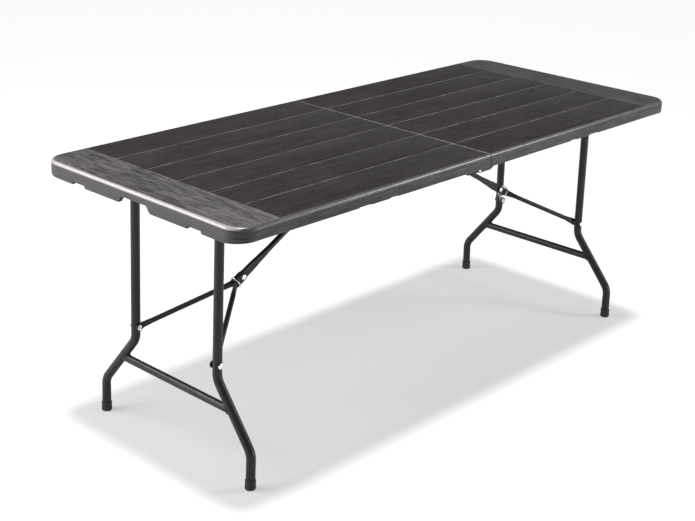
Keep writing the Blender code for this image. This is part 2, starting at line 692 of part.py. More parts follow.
def add_foot(body, name, plane, y_side, surface):
    """A rubber cap over the end of a leg, cut level with the floor."""
    def level_ring(radius):
        return [p + plane.down * (p.z / math.cos(SPLAY_ANGLE)) for p in ring_at(plane.length, radius)]

    def ring_at(w, radius):
        return circle(plane.at(y_side * FOOT_HALF_SPACING, w), AXIS_Y, plane.out, radius, FINE_SIDES)

    bore = LEG_TUBE_RADIUS + GAP
    rim = plane.length - FOOT_HEIGHT
    rings = [
        level_ring(FOOT_RADIUS - FOOT_EDGE), ring_at(plane.length - 2 * FOOT_EDGE, FOOT_RADIUS),
        ring_at(rim + FOOT_EDGE, FOOT_RADIUS), ring_at(rim, FOOT_RADIUS - FOOT_EDGE / 2), ring_at(rim, bore),
        ring_at(plane.length - FOOT_SOLE, bore),
    ]
    return body.add(name, *loft(rings), surface)


def add_leg_rivet(body, name, plane, y_side, surface):
    """A rivet through the leg, headed outside and finished flush inside, where the brace's arm hangs."""
    centre = plane.at(0, plane.w_at_height(LEG_RIVET_HEIGHT))
    inside = LEG_HALF_SPACING - LEG_TUBE_RADIUS - GAP
    seat = LEG_HALF_SPACING + LEG_TUBE_RADIUS + GAP
    shank = seat - inside
    profile = [(0, RIVET_RADIUS), (shank, RIVET_RADIUS), (shank, RIVET_HEAD_RADIUS),
               (shank + RIVET_HEAD_HEIGHT / 2, RIVET_HEAD_RADIUS),
               (shank + RIVET_HEAD_HEIGHT, RIVET_HEAD_RADIUS * RIVET_CROWN)]
    start = centre + AXIS_Y * (y_side * inside)
    return body.add(name, *turned(start, AXIS_Y * y_side, AXIS_X, profile), surface)


# ---------------------------------------------------------------- braces

def turn_about(point, centre, angle):
    """A point in the XZ plane turned about centre, from X towards Z."""
    x, z = point[0] - centre[0], point[1] - centre[1]
    return (centre[0] + x * math.cos(angle) - z * math.sin(angle),
            centre[1] + x * math.sin(angle) + z * math.cos(angle))


class Brace:
    """Sizes of one brace, worked out so that it is straight with the legs open and flat with them folded."""

    def __init__(self, side):
        self.side = side
        plane = LegPlane(-1)
        open_rivet = plane.at(0, plane.w_at_height(LEG_RIVET_HEIGHT))
        rivet = (open_rivet.x, open_rivet.z)
        top = (-BRACE_TOP_INSET, HEIGHT - BRACE_TOP_DROP)
        folded_rivet = turn_about(rivet, (-PIVOT_X, PIVOT_Z), math.pi / 2 + SPLAY_ANGLE)
        knuckle_z = HEIGHT - BRACE_FOLDED_DROP
        total = math.dist(rivet, top)
        low, high = folded_rivet[0] - total, folded_rivet[0]
        for _ in range(60):
            middle = (low + high) / 2
            spread = math.dist((middle, knuckle_z), top) + math.dist((middle, knuckle_z), folded_rivet)
            low, high = (middle, high) if spread > total else (low, middle)
        self.upper_length = math.dist((low, knuckle_z), top)
        self.lower_length = total - self.upper_length
        self.top = Vector((side * -top[0], 0, top[1]))
        self.rivet = Vector((side * -rivet[0], 0, rivet[1]))
        self.along = (self.rivet - self.top).normalized()
        self.knuckle = self.top + self.along * self.upper_length
        self.up = AXIS_Y.cross(self.along) if side < 0 else self.along.cross(AXIS_Y)
        if self.up.z < 0:
            self.up.negate()


def add_upper_arm(body, name, brace, surface):
    """A tube pressed flat at both ends, drilled for the cross tube and for the knuckle rivet."""
    def pressed(half_height):
        return ARM_FLAT_HALF_WIDTH, half_height, FLAT_SQUARENESS

    def easing(half_height):
        return (ARM_FLAT_HALF_WIDTH + ARM_TUBE_RADIUS) / 2, (half_height + ARM_TUBE_RADIUS) / 2, 3

    eye, flat = pressed(ARM_EYE_HALF_HEIGHT), pressed(ARM_FLAT_HALF_HEIGHT)
    tube = (ARM_TUBE_RADIUS, ARM_TUBE_RADIUS, 2)
    start = -(ARM_EYE_HALF_HEIGHT + CROSS_TUBE_RADIUS) / 2 - ARM_EYE_WALL / 2
    end, tail = brace.upper_length, brace.upper_length + ARM_TAIL
    stations = [
        (start, pressed(ARM_EYE_HALF_HEIGHT * 0.45)), (start * 0.8, pressed(ARM_EYE_HALF_HEIGHT * 0.82)),
        (start * 0.3, eye), (ARM_EYE_FLAT, eye),
        (ARM_EYE_FLAT + ARM_EYE_TAPER * 0.6, easing(ARM_EYE_HALF_HEIGHT)),
        (ARM_EYE_FLAT + ARM_EYE_TAPER, tube), (end - ARM_END_FLAT - ARM_END_TAPER, tube),
        (end - ARM_END_FLAT - ARM_END_TAPER * 0.45, easing(ARM_FLAT_HALF_HEIGHT)), (end - ARM_END_FLAT, flat),
        (tail - ARM_TAIL * 0.1, flat), (tail, pressed(ARM_FLAT_HALF_HEIGHT * 0.8)),
    ]
    rings = [section(brace.top + brace.along * place, AXIS_Y, brace.up, *shape) for place, shape in stations]
    arm = body.add(name, *loft(rings), surface)
    through = 4 * ARM_FLAT_HALF_WIDTH
    cut(arm, name + "_top_eye", cylinder(brace.top, AXIS_Y, CROSS_TUBE_RADIUS + GAP, through))
    cut(arm, name + "_knuckle_hole", cylinder(brace.knuckle, AXIS_Y, RIVET_RADIUS + GAP, through))
    return arm


def add_knuckle_rivet(body, name, brace, surface):
    """The rivet through the upper arm and both lower arms."""
    seat = ARM_FLAT_HALF_WIDTH + STRAP_THICKNESS + 3 * GAP
    end = seat + RIVET_HEAD_HEIGHT
    half = [(seat, RIVET_RADIUS), (seat, RIVET_HEAD_RADIUS),
            (seat + RIVET_HEAD_HEIGHT / 2, RIVET_HEAD_RADIUS), (end, RIVET_HEAD_RADIUS * RIVET_CROWN)]
    profile = [(end - y, r) for y, r in reversed(half)] + [(end + y, r) for y, r in half]
    return body.add(name, *turned(brace.knuckle - AXIS_Y * end, AXIS_Y, AXIS_X, profile), surface)


def add_lower_arm(body, name, brace, y_side, surface):
    """A tube with flattened ends that spreads from the knuckle out to the inner side of one leg."""
    strap = STRAP_THICKNESS / 2
    near = ARM_FLAT_HALF_WIDTH + GAP + strap
    leg_face = LEG_HALF_SPACING - LEG_TUBE_RADIUS
    far = leg_face - LEG_RIVET_SIDE_CLEARANCE - strap
    length = brace.lower_length
    straight_near, straight_far = LOWER_ARM_NEAR_FLAT, length - LOWER_ARM_FAR_FLAT
    slope = (far - near) / (straight_far - straight_near)
    thick = LOWER_ARM_RADIUS * math.hypot(1, slope)

    def centre_y(place):
        return near + (far - near) * min(max((place - straight_near) / (straight_far - straight_near), 0), 1)

    near_height, far_height = STRAP_HALF_HEIGHT, STRAP_HALF_HEIGHT - STRAP_NARROWING
    middle = (near_height + LOWER_ARM_RADIUS) / 2 - STRAP_NARROWING / 2
    stations = [
        (-near_height - GAP, strap, near_height * 0.43, STRAP_SQUARENESS),
        (-near_height * 0.74, strap, near_height * 0.83, STRAP_SQUARENESS),
        (0, strap, near_height, STRAP_SQUARENESS),
        (straight_near * 0.8, strap, near_height, STRAP_SQUARENESS),
        (straight_near * 1.03, strap * 1.3, near_height - STRAP_NARROWING, STRAP_SQUARENESS - 1),
        (straight_near * 1.44, thick * 0.55, middle, 3),
        (straight_near * 1.94, thick, LOWER_ARM_RADIUS, 2),
        (straight_far - 0.026, thick, LOWER_ARM_RADIUS, 2),
        (straight_far - 0.012, thick * 0.5, middle, 3),
        (straight_far - 0.002, strap * 1.3, far_height - STRAP_NARROWING / 2, STRAP_SQUARENESS - 1),
        (length - far_height * 0.76, strap, far_height, STRAP_SQUARENESS),
        (length + far_height * 0.38, strap, far_height, STRAP_SQUARENESS),
        (length + far_height * 0.86, strap, far_height * 0.76, STRAP_SQUARENESS),
        (length + far_height + 0.0015, strap, far_height * 0.38, STRAP_SQUARENESS),
    ]
    rings = []
    for place, half_width, half_height, squareness in stations:
        centre = brace.knuckle + brace.along * place + AXIS_Y * (y_side * centre_y(place))
        rings.append(section(centre, AXIS_Y, brace.up, half_width, half_height, squareness))
    arm = body.add(name, *loft(rings), surface)
    for label, centre, y in (("_knuckle_hole", brace.knuckle, near), ("_leg_eye", brace.rivet, far)):
        hole = cylinder(centre + AXIS_Y * (y_side * y), AXIS_Y, RIVET_RADIUS + GAP, 2 * STRAP_THICKNESS)
        cut(arm, name + label, hole)
    return arm


def add_lock_ring(body, name, brace, surface):
    """A loose ring of round wire over the straightened knuckle."""
    centre = brace.knuckle + brace.along * RING_OFFSET
    rings = []
    for k in range(RING_STEPS):
        angle = 2 * math.pi * k / RING_STEPS
        outward = AXIS_Y * math.cos(angle) + brace.up * math.sin(angle)
        rings.append(circle(centre + outward * RING_RADIUS, outward, brace.along, RING_WIRE_RADIUS, 8))
    return body.add(name, *loft(rings, closed_loop=True), surface)


# ---------------------------------------------------------------- the whole table

def build_half(side, label, parent, surfaces):
    """One half of the top with everything that hangs from it."""
    pivot = (0, 0, HINGE_Z)
    half = new_body(label + "_half", pivot, parent)
    plane = LegPlane(side)
    brace = Brace(side)
    legs = new_body(label + "_leg_frame", plane.pivot, half)
    upper = new_body(label + "_upper_arm", brace.top, half)
    lower = new_body(label + "_lower_arms", brace.knuckle, upper)
    ring = new_body(label + "_lock_ring", brace.knuckle + brace.along * RING_OFFSET, upper)

    add_panel(half, label + "_panel", side, surfaces["moulded"])
    add_cross_tube(half, label + "_brace_cross_tube", side, surfaces["painted"])
    add_pivot_tube(legs, label + "_leg_pivot_tube", plane, surfaces["painted"])
    add_stretcher(legs, label + "_leg_stretcher", plane, surfaces["painted"])
    add_upper_arm(upper, label + "_brace_upper_arm", brace, surfaces["painted"])
    add_knuckle_rivet(upper, label + "_knuckle_rivet", brace, surfaces["zinc"])
    add_lock_ring(ring, label + "_lock_ring", brace, surfaces["zinc"])

    for y_side, place in ((-1, "front"), (1, "back")):
        start = label + "_" + place
        add_rail(half, start + "_rail", side, y_side, surfaces["painted"])
        add_pivot_bracket(half, start + "_pivot_bracket", side, y_side, surfaces["painted"])
        add_pivot_bush(half, start + "_pivot_bush", side, y_side, surfaces["nylon"])
        for end, from_seam in zip(("inner", "outer"), SCREW_POSITIONS):
            add_rail_screw(half, start + "_" + end + "_rail_screw", side, y_side, from_seam, surfaces["zinc"])
        add_leg_tube(legs, start + "_leg_tube", plane, y_side, surfaces["painted"])
        add_foot(legs, start + "_foot", plane, y_side, surfaces["rubber"])
        add_leg_rivet(legs, start + "_leg_rivet", plane, y_side, surfaces["zinc"])
        add_lower_arm(lower, start + "_brace_lower_arm", brace, y_side, surfaces["painted"])
        add_hinge_leaf(half, place + "_hinge_" + label + "_leaf", side, y_side, surfaces["painted"])
    return half


def main():
    for old in list(bpy.data.objects):
        bpy.data.objects.remove(old)
    surfaces = make_materials()
    left = build_half(-1, "left", None, surfaces)
    for y_side, place in ((-1, "front"), (1, "back")):
        add_hinge_pin(left, place + "_hinge_pin", y_side, surfaces["zinc"])
    build_half(1, "right", left, surfaces)


main()
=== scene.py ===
import json
import math

import bmesh
import bpy
from mathutils import Matrix, Vector


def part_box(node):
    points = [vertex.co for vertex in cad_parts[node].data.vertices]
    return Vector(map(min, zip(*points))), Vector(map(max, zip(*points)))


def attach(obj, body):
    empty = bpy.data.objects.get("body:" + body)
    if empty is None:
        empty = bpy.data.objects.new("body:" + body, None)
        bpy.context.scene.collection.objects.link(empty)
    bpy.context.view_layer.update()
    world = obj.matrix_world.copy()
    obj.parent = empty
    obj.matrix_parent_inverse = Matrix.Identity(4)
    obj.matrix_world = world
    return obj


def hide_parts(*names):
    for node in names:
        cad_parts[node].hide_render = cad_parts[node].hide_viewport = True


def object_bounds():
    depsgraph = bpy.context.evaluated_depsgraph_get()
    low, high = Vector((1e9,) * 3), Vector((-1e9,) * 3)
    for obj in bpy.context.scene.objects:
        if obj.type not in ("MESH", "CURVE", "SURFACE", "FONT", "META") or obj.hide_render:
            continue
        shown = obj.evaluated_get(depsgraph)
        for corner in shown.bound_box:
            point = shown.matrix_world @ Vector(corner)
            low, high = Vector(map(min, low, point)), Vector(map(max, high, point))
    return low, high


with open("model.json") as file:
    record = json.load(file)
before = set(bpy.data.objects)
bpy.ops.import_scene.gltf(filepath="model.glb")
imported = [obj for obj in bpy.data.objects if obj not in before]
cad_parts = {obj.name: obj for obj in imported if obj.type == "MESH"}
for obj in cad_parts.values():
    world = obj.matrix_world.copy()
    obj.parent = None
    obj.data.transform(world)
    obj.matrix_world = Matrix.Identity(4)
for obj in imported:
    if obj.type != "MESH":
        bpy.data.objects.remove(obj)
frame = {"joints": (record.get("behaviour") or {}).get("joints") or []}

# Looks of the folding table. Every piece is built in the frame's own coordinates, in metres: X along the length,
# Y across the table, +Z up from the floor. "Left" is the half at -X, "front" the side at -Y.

CAD_LOW, CAD_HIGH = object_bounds()

AXIS_X = Vector((1, 0, 0))
AXIS_Y = Vector((0, 1, 0))
AXIS_Z = Vector((0, 0, 1))
SIDES = ((-1, "left"), (1, "right"))
PLACES = ((-1, "front"), (1, "back"))
JOINTS = {joint["name"]: joint for joint in frame["joints"]}


def joint_place(name):
    return Vector(JOINTS[name]["pos_m"])


# Overall size and joint places, from the frame.
HALF_LENGTH = CAD_HIGH.x
HALF_WIDTH = CAD_HIGH.y
HEIGHT = CAD_HIGH.z
HINGE_Z = joint_place("centre_fold").z
LEG_PIVOT = joint_place("right_leg_fold")
BRACE_TOP = joint_place("right_upper_arm_swing")
KNUCKLE = joint_place("right_knuckle_fold")
SEAM_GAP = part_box("right_panel")[0].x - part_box("left_panel")[1].x
RAIL_LOW, RAIL_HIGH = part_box("right_back_rail")
FOOT_LOW, FOOT_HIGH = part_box("right_back_foot")
RIVET_LOW, RIVET_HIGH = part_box("right_back_leg_rivet")

# Moulded top
GAP = 0.0003
FIELD_THICKNESS = 0.008
FIELD_UNDERSIDE = HEIGHT - FIELD_THICKNESS
CHANNEL_ROOF = HEIGHT - 0.004
CHANNEL_HALF_WIDTH = 0.034
CHANNEL_ENDS = (0.0165, LEG_PIVOT.x - 0.090)
SKIRT_THICKNESS = 0.011
SKIRT_FILLET = 0.004
CORNER_RADIUS = 0.060
RIM_RADIUS = 0.009
SEAM_RIM_RADIUS = 0.002
LIP_RADIUS = 0.0025
END_SKIRT_DEPTH = 0.042
SIDE_SKIRT_DEPTH = 0.036
SEAM_WALL_DEPTH = 0.030
HINGE_TAB_DEPTH = 0.043
HINGE_TAB_REACH = 0.050
END_NOTCH_DEPTH = 0.035
END_NOTCH_CENTRE = 0.223
END_NOTCH_WIDTH = 0.050
GRIP_RECESS_DEPTH = 0.0245
GRIP_RECESS_WIDTH = 0.090
GRIP_RECESS_SLOPE = 0.017
SIDE_NOTCH_DEPTH = 0.034
SIDE_NOTCHES = ((0.391, 0.028), (0.4965, 0.044))
STEP_RUN = 0.004
PLANK_WIDTH = 0.1225
END_PLANK_X = 0.780
GROOVE_HALF_WIDTH = 0.0024
GROOVE_DEPTH = 0.0013
GROOVE_END_Y = 0.352
GROOVE_FADE = 0.010
GROOVE_CUTS = (-1.0, -0.6, -0.25, 0.25, 0.6, 1.0, 0.0)
POCKET_PITCH = 0.045
POCKET_WALL = 0.010
POCKET_DEPTH = 0.0035
POCKET_SLOPE = 0.0035
POCKET_X = (0.055, 0.865)
POCKET_Y = (0.044, 0.302)

# Steel parts
TUBE_WALL = 0.0012
LEG_RADIUS = 0.0125
LEG_HALF_SPACING = 0.164
FOOT_HALF_SPACING = (FOOT_LOW.y + FOOT_HIGH.y) / 2
UPPER_BEND_HEIGHT = 0.259
LOWER_BEND_HEIGHT = 0.098
BEND_RADIUS = 0.050
LEG_SPLAY = 0.020
LEG_END_LIFT = 0.0043            # from the floor, inside the foot cap
STRETCHER_RADIUS = 0.011
STRETCHER_HEIGHT = 0.190
SWAGED_RADIUS = 0.008
SWAGE_LENGTH = 0.007
FOOT_RADIUS = 0.0145
FOOT_HEIGHT = 0.026
CROSS_TUBE_RADIUS = 0.007
ARM_RADIUS = 0.008
ARM_HALF_WIDTH = 0.0055
ARM_HALF_HEIGHT = 0.012
ARM_EYE_HALF_HEIGHT = 0.011
ARM_TAIL = 0.028
DENT_HALF_HEIGHT = 0.62          # of a valley, as a share of the arm's half height
LOWER_ARM_RADIUS = 0.007
STRAP_THICKNESS = 0.003
LEG_RIVET_HEIGHT = (RIVET_LOW.z + RIVET_HIGH.z) / 2
RIVET_RADIUS = 0.004
RIVET_HEAD_RADIUS = 0.0078
RIVET_HEAD_HEIGHT = 0.0026
RING_RADIUS = 0.01698
RING_WIRE_RADIUS = 0.0015
RING_OFFSET = 0.025
STRAP_CLEARANCE = 0.0011         # off the inner side of the leg
STRAP_NEAR_FLAT = 0.032          # flat length past the knuckle
STRAP_FAR_FLAT = 0.012           # and before the leg rivet
RAIL_SHEET = 0.0016
RAIL_WEB_Y = RAIL_LOW.y
RAIL_OUTER_Y = RAIL_WEB_Y + RAIL_SHEET
CROSS_TUBE_REACH = RAIL_OUTER_Y + 0.003
PIVOT_TUBE_REACH = RAIL_OUTER_Y + 0.0044
BUSH_REACH = RAIL_OUTER_Y + 0.0014
SCREW_POSITIONS = (0.200, 0.640)
SCREW_HEAD_RADIUS = 0.005
SCREW_HEAD_HEIGHT = 0.0026
BRACKET_SHEET = 0.0025
BRACKET_LENGTH = 0.048
BRACKET_FLANGE = 0.026
BRACKET_SCREW_X = 0.015
BRACKET_SCREW_INSET = 0.017
BRACKET_EYE_RADIUS = 0.016
BRACKET_Y = RAIL_WEB_Y - GAP - BRACKET_SHEET
BUSH_RADIUS = 0.0101
BUSH_FLANGE_RADIUS = 0.013
BUSH_FLANGE_THICKNESS = 0.0015
BUSH_START_Y = BRACKET_Y - GAP - BUSH_FLANGE_THICKNESS
LEAF_THICKNESS = 0.003
LEAF_RADIUS = 0.009
LEAF_REACH = 0.095
LEAF_NECK = 0.045
LEAF_STEP = 0.004
LEAF_RIVET_X = (0.060, 0.083)
HINGE_PIN_RADIUS = 0.0035
HINGE_HEAD_RADIUS = 0.0065
HINGE_HEAD_HEIGHT = 0.0022
WELD_RADIUS = 0.0021
WELD_STAND = 0.0006              # a bead's middle outside its tube
WELD_SEAT = 0.0008               # and off the tube that it meets


# Materials

class Nodes:
    """A shader tree under construction. A value that is a socket is linked, any other is set."""

    def __init__(self, tree):
        self.nodes, self.links = tree.nodes, tree.links

    def put(self, socket, value):
        if isinstance(value, bpy.types.NodeSocket):
            self.links.new(value, socket)
        else:
            socket.default_value = value

    def node(self, kind, inputs=None, **settings):
        made = self.nodes.new(kind)
        for key, value in settings.items():
            setattr(made, key, value)
        for key, value in (inputs or {}).items():
            self.put(made.inputs[key], value)
        return made

    def ramp(self, value, low, high, to_low=0.0, to_high=1.0):
        inputs = {"Value": value, "From Min": low, "From Max": high, "To Min": to_low, "To Max": to_high}
        return self.node("ShaderNodeMapRange", inputs, clamp=True).outputs["Result"]

    def maths(self, operation, first, second=0.0):
        return self.node("ShaderNodeMath", {0: first, 1: second}, operation=operation).outputs[0]

    def split(self, vector):
        return self.node("ShaderNodeSeparateXYZ", {"Vector": vector}).outputs


class Surface(Nodes):
    """A node material in object coordinates, so that it stays on its piece in every pose."""

    def __init__(self, name):
        self.material = bpy.data.materials.new(name)
        self.material.use_nodes = True
        super().__init__(self.material.node_tree)
        self.shader = self.nodes["Principled BSDF"]
        coordinates = self.nodes.new("ShaderNodeTexCoord").outputs
        self.place, self.normal = coordinates["Object"], coordinates["Normal"]

    def noise(self, scale, detail=3.0, roughness=0.55, stretch=None, distortion=0.0):
        vector = self.place
        if stretch:
            vector = self.node("ShaderNodeMapping", {"Vector": vector, "Scale": stretch}).outputs["Vector"]
        inputs = {"Vector": vector, "Scale": scale, "Detail": detail, "Roughness": roughness,
                  "Distortion": distortion}
        return self.node("ShaderNodeTexNoise", inputs).outputs["Fac"]

    def blend(self, factor, first, second):
        """A mix of two colours, each a socket or three numbers."""
        made = self.node("ShaderNodeMix", {"Factor": factor}, data_type="RGBA")
        for socket, value in zip(made.inputs[6:8], (first, second)):
            self.put(socket, (*value, 1.0) if isinstance(value, tuple) else value)
        return made.outputs[2]

    def facing_end(self, low, high):
        """Rises from 0 to 1 as a face turns from the long side, round the corner, to the table's end."""
        parts = self.split(self.normal)
        lean = self.maths("SUBTRACT", self.maths("ABSOLUTE", parts["X"]), self.maths("ABSOLUTE", parts["Y"]))
        return self.ramp(lean, low, high)

    def bump(self, height, distance, strength=1.0, under=None):
        inputs = {"Height": height, "Distance": distance, "Strength": strength}
        if under is not None:
            inputs["Normal"] = under
        return self.node("ShaderNodeBump", inputs).outputs["Normal"]

    def finish(self, colour, roughness, normal, **values):
        for key, value in {"Base_Color": colour, "Roughness": roughness, "Normal": normal, **values}.items():
            self.put(self.shader.inputs[key.replace("_", " ")], value)
        return self.material


GRAINS = {
    "along_x": ((13, 165, 210), (2.2, 34, 34)),
    "along_y": ((190, 17, 210), (34, 2.6, 34)),
    "level": ((11, 11, 330), (3.0, 3.0, 90)),
}


def moulded_material(name, grain, dark, light, relief, gloss, end=None):
    """Blow-moulded plastic with a pressed wood grain that runs along X, along Y or level round the edge.

    end is the colour of the plain skirt at the table's end, which the grain of the sides fades into; it is set
    lighter than the sides, as painted light on the end face.
    """
    made = Surface(name)
    fine, broad = GRAINS[grain]
    streaks = made.noise(1.0, 4.0, 0.70, fine, 0.5)
    plies = made.noise(1.0, 3.0, 0.55, broad, 1.4)
    pores = made.noise(2.3, 3.0, 0.7, fine)
    patches = made.noise(6.0, 2.0, 0.5)
    figure = made.maths("ADD", made.maths("MULTIPLY", streaks, 0.70), made.maths("MULTIPLY", plies, 0.18))
    figure = made.maths("ADD", figure, made.maths("MULTIPLY", patches, 0.14))
    colour = made.blend(made.ramp(figure, 0.43, 0.61), dark, light)
    # The plain end is painted lighter than the sides: painted light on the end face.
    if end:
        colour = made.blend(made.facing_end(0.25, 0.9), colour, end)
    pebble = made.bump(made.noise(1400.0, 2.0), 0.00006, 0.6)
    cut = made.bump(made.ramp(pores, 0.35, 0.62), relief * 0.4, 0.8, pebble)
    waves = made.bump(made.ramp(streaks, 0.34, 0.68), relief, 1.0, cut)
    rings = made.bump(plies, relief * 1.2, 0.8, waves)
    return made.finish(colour, made.ramp(pores, 0.3, 0.7, 0.60, 0.42), rings, Specular_IOR_Level=gloss)


def smooth_material(name, dark, light, roughness, end=None):
    """The same plastic where the mould is polished: the rims and the bottoms of the grooves. The light groove
    colours and the rim's end colour are painted highlights.
    """
    made = Surface(name)
    colour = made.blend(made.ramp(made.noise(16.0, 5.0, 0.62), 0.34, 0.62), dark, light)
    if end:
        # Faces turned to the table's end take end: a painted highlight band along the rim.
        colour = made.blend(made.facing_end(-0.15, 0.28), colour, end)
    haze = made.ramp(made.noise(260.0, 3.0), 0.3, 0.7, roughness - 0.04, roughness + 0.05)
    pebble = made.bump(made.noise(1400.0, 2.0), 0.00005, 0.5)
    return made.finish(colour, haze, made.bump(made.noise(60.0, 2.0, 0.4), 0.0002, 0.5, pebble),
                       Specular_IOR_Level=0.5)


def painted_material():
    """Satin powder coat: a slight orange peel, with paler clouds where dust lies."""
    made = Surface("painted_steel")
    cloud = made.ramp(made.noise(22.0, 4.0, 0.6), 0.3, 0.75)
    speck = made.bump(made.noise(2600.0, 2.0), 0.00003, 0.5)
    return made.finish(made.blend(cloud, (0.0115, 0.0106, 0.0107), (0.0185, 0.0171, 0.0172)),
                       made.ramp(made.noise(60.0, 3.0), 0.3, 0.7, 0.30, 0.42),
                       made.bump(made.noise(420.0, 2.0, 0.4), 0.00011, 0.7, speck), Specular_IOR_Level=0.24)


def zinc_material():
    """Bright zinc plate with faint spangle and turning marks."""
    made = Surface("zinc_steel")
    spangle = made.node("ShaderNodeTexVoronoi", {"Vector": made.place, "Scale": 700.0}).outputs["Distance"]
    return made.finish(made.blend(made.ramp(spangle, 0.1, 0.7), (0.84, 0.84, 0.83), (0.70, 0.71, 0.72)),
                       made.ramp(made.noise(500.0, 4.0), 0.3, 0.7, 0.16, 0.32),
                       made.bump(made.noise(1.0, 3.0, 0.6, (300, 4000, 300)), 0.00002, 0.6), Metallic=1.0)


def rubber_material():
    """Matt rubber with a fine cast skin and a paler scuff near the floor."""
    made = Surface("foot_rubber")
    low = made.ramp(made.split(made.place)["Z"], 0.007, 0.0)
    scuff = made.maths("MULTIPLY", low, made.noise(240.0, 4.0, 0.7))
    return made.finish(made.blend(scuff, (0.016, 0.0155, 0.0155), (0.070, 0.067, 0.064)),
                       made.ramp(made.noise(300.0, 3.0), 0.3, 0.7, 0.66, 0.82),
                       made.bump(made.noise(1800.0, 3.0), 0.00008, 0.6), Specular_IOR_Level=0.35)


def nylon_material():
    """Black nylon with flow marks."""
    made = Surface("bush_nylon")
    flow = made.noise(1.0, 3.0, 0.5, (160, 30, 160))
    return made.finish(made.blend(made.ramp(flow, 0.3, 0.7), (0.022, 0.022, 0.023), (0.042, 0.041, 0.041)),
                       made.ramp(flow, 0.3, 0.7, 0.42, 0.58), made.bump(made.noise(900.0, 2.0), 0.00005, 0.5))


def make_finishes():
    """Each finish: its materials in the order of a piece's face groups, and the record's slot."""
    field = moulded_material("moulded_field", "along_x", (0.0085, 0.0073, 0.0069), (0.0185, 0.0161, 0.0153),
                             0.00016, 0.10)
    # The end planks are lit and shaded copies of one moulding: the near plank is painted lighter, as painted
    # light where its cross grain faces the lamps at the left, and the far plank darker, as painted shade.
    plank = moulded_material("moulded_end_plank_painted_light", "along_y", (0.011, 0.0101, 0.0102), (0.077, 0.0703, 0.0712),
                             0.00045, 0.22)
    shaded_far_plank = moulded_material("moulded_far_end_plank_painted_shade", "along_y", (0.0130, 0.0116, 0.0116),
                                 (0.036, 0.0325, 0.0322), 0.00030, 0.20)
    # The skirt's plain ends are set lighter than its sides, as painted light on the end faces.
    skirt = moulded_material("moulded_skirt_painted_light_end", "level", (0.009, 0.0082, 0.0083), (0.057, 0.0523, 0.0530),
                             0.00030, 0.25, end=(0.049, 0.0450, 0.0457))
    under = moulded_material("moulded_underside", "along_x", (0.022, 0.0200, 0.0196), (0.028, 0.0256, 0.025),
                             0.00006, 0.2)
    # The groove bottoms are painted far lighter than the field, as painted highlight lines; the far cross groove
    # gets a dimmer copy, as painted shade.
    groove = smooth_material("moulded_groove_painted_highlight", (0.018, 0.0160, 0.0157), (0.120, 0.1115, 0.111), 0.38)
    dim_groove_highlight = smooth_material("moulded_far_groove_dim_painted_highlight", (0.012, 0.0108, 0.0107), (0.034, 0.0310, 0.0306), 0.45)
    # The rim's end colour is a painted highlight band along the rounded rim at the near end; the far rim is the
    # same without it.
    rim = smooth_material("moulded_rim_painted_end_highlight", (0.030, 0.0275, 0.0278), (0.046, 0.0425, 0.0430), 0.30,
                          end=(0.205, 0.1890, 0.1915))
    far_rim = smooth_material("moulded_far_rim", (0.030, 0.0275, 0.0278), (0.046, 0.0425, 0.0430), 0.30)
    near_end = [field, plank, skirt, under, groove, groove, rim]
    far_end = [field, shaded_far_plank, skirt, under, groove, dim_groove_highlight, far_rim]
    return {
        "moulded_left": (near_end, "moulded_top"),
        "moulded_right": (far_end, "moulded_top"),
        "painted": ([painted_material()], "painted_steel"),
        "zinc": ([zinc_material()], "zinc_steel"),
        "rubber": ([rubber_material()], "foot_rubber"),
        "nylon": ([nylon_material()], "bush_nylon"),
    }


# Mesh helpers

def ease(t):
    """A smooth step from 0 to 1."""
    return t * t * (3 - 2 * t)


def eased(stations, steps=5, level_steps=None):
    """Stations with smooth steps between them. Each is a tuple whose first value is its place.

    level_steps is how many steps a stretch that doesn't change gets, if not the same number.
    """
    fine = []
    for one, two in zip(stations, stations[1:]):
        count = level_steps if level_steps and one[1:] == two[1:] else steps
        for k in range(count):
            t = k / count
            fine.append((one[0] + (two[0] - one[0]) * t,
                         *(a + (b - a) * ease(t) for a, b in zip(one[1:], two[1:]))))
    return fine + [stations[-1]]


def quarter(steps):
    """1 less the sine and 1 less the cosine of evenly spaced angles from 0 to 90 degrees."""
    angles = [math.radians(90 * k / steps) for k in range(steps + 1)]
    return [(1 - math.sin(angle), 1 - math.cos(angle)) for angle in angles]


def arc(radius, start, turn, steps=24):
    """Points (a, b) on an arc about the origin. The angles are in degrees."""
    angles = [math.radians(start + turn * k / steps) for k in range(steps + 1)]
    return [(radius * math.cos(angle), radius * math.sin(angle)) for angle in angles]


def loft(rings, closed_loop=False):
    """Points and faces of a skin over rings of equal count, capped at both ends or joined into a loop."""
    count = len(rings[0])
    points = [p for ring in rings for p in ring]
    last = len(points) - count
    faces = []
    for first in range(0, len(points) if closed_loop else last, count):
        second = (first + count) % len(points)
        faces += [(first + i, first + (i + 1) % count, second + (i + 1) % count, second + i)
                  for i in range(count)]
    if not closed_loop:
        faces += [tuple(reversed(range(count))), tuple(range(last, last + count))]
    return points, faces


def joined(*shapes):
    """Several shapes as one set of points and faces, still separate solids."""
    points, faces = [], []
    for more_points, more_faces in shapes:
        start = len(points)
        points += more_points
        faces += [tuple(i + start for i in face) for face in more_faces]
    return points, faces


def circle(centre, side, up, radius, sides=32):
    """A ring of points about centre, in the plane of the unit vectors side and up."""
    angles = [2 * math.pi * (i + 0.5) / sides for i in range(sides)]
    return [Vector(centre) + side * (radius * math.cos(a)) + up * (radius * math.sin(a)) for a in angles]


def turned(origin, axis, outer, inner=(), sides=32):
    """A solid of revolution from (distance along axis, radius) pairs, hollow if inner gives its bore."""
    side = axis.orthogonal().normalized()
    up = axis.cross(side)
    profile = [*outer, *reversed(inner)]
    return loft([circle(origin + axis * along, side, up, radius, sides) for along, radius in profile],
                bool(inner))


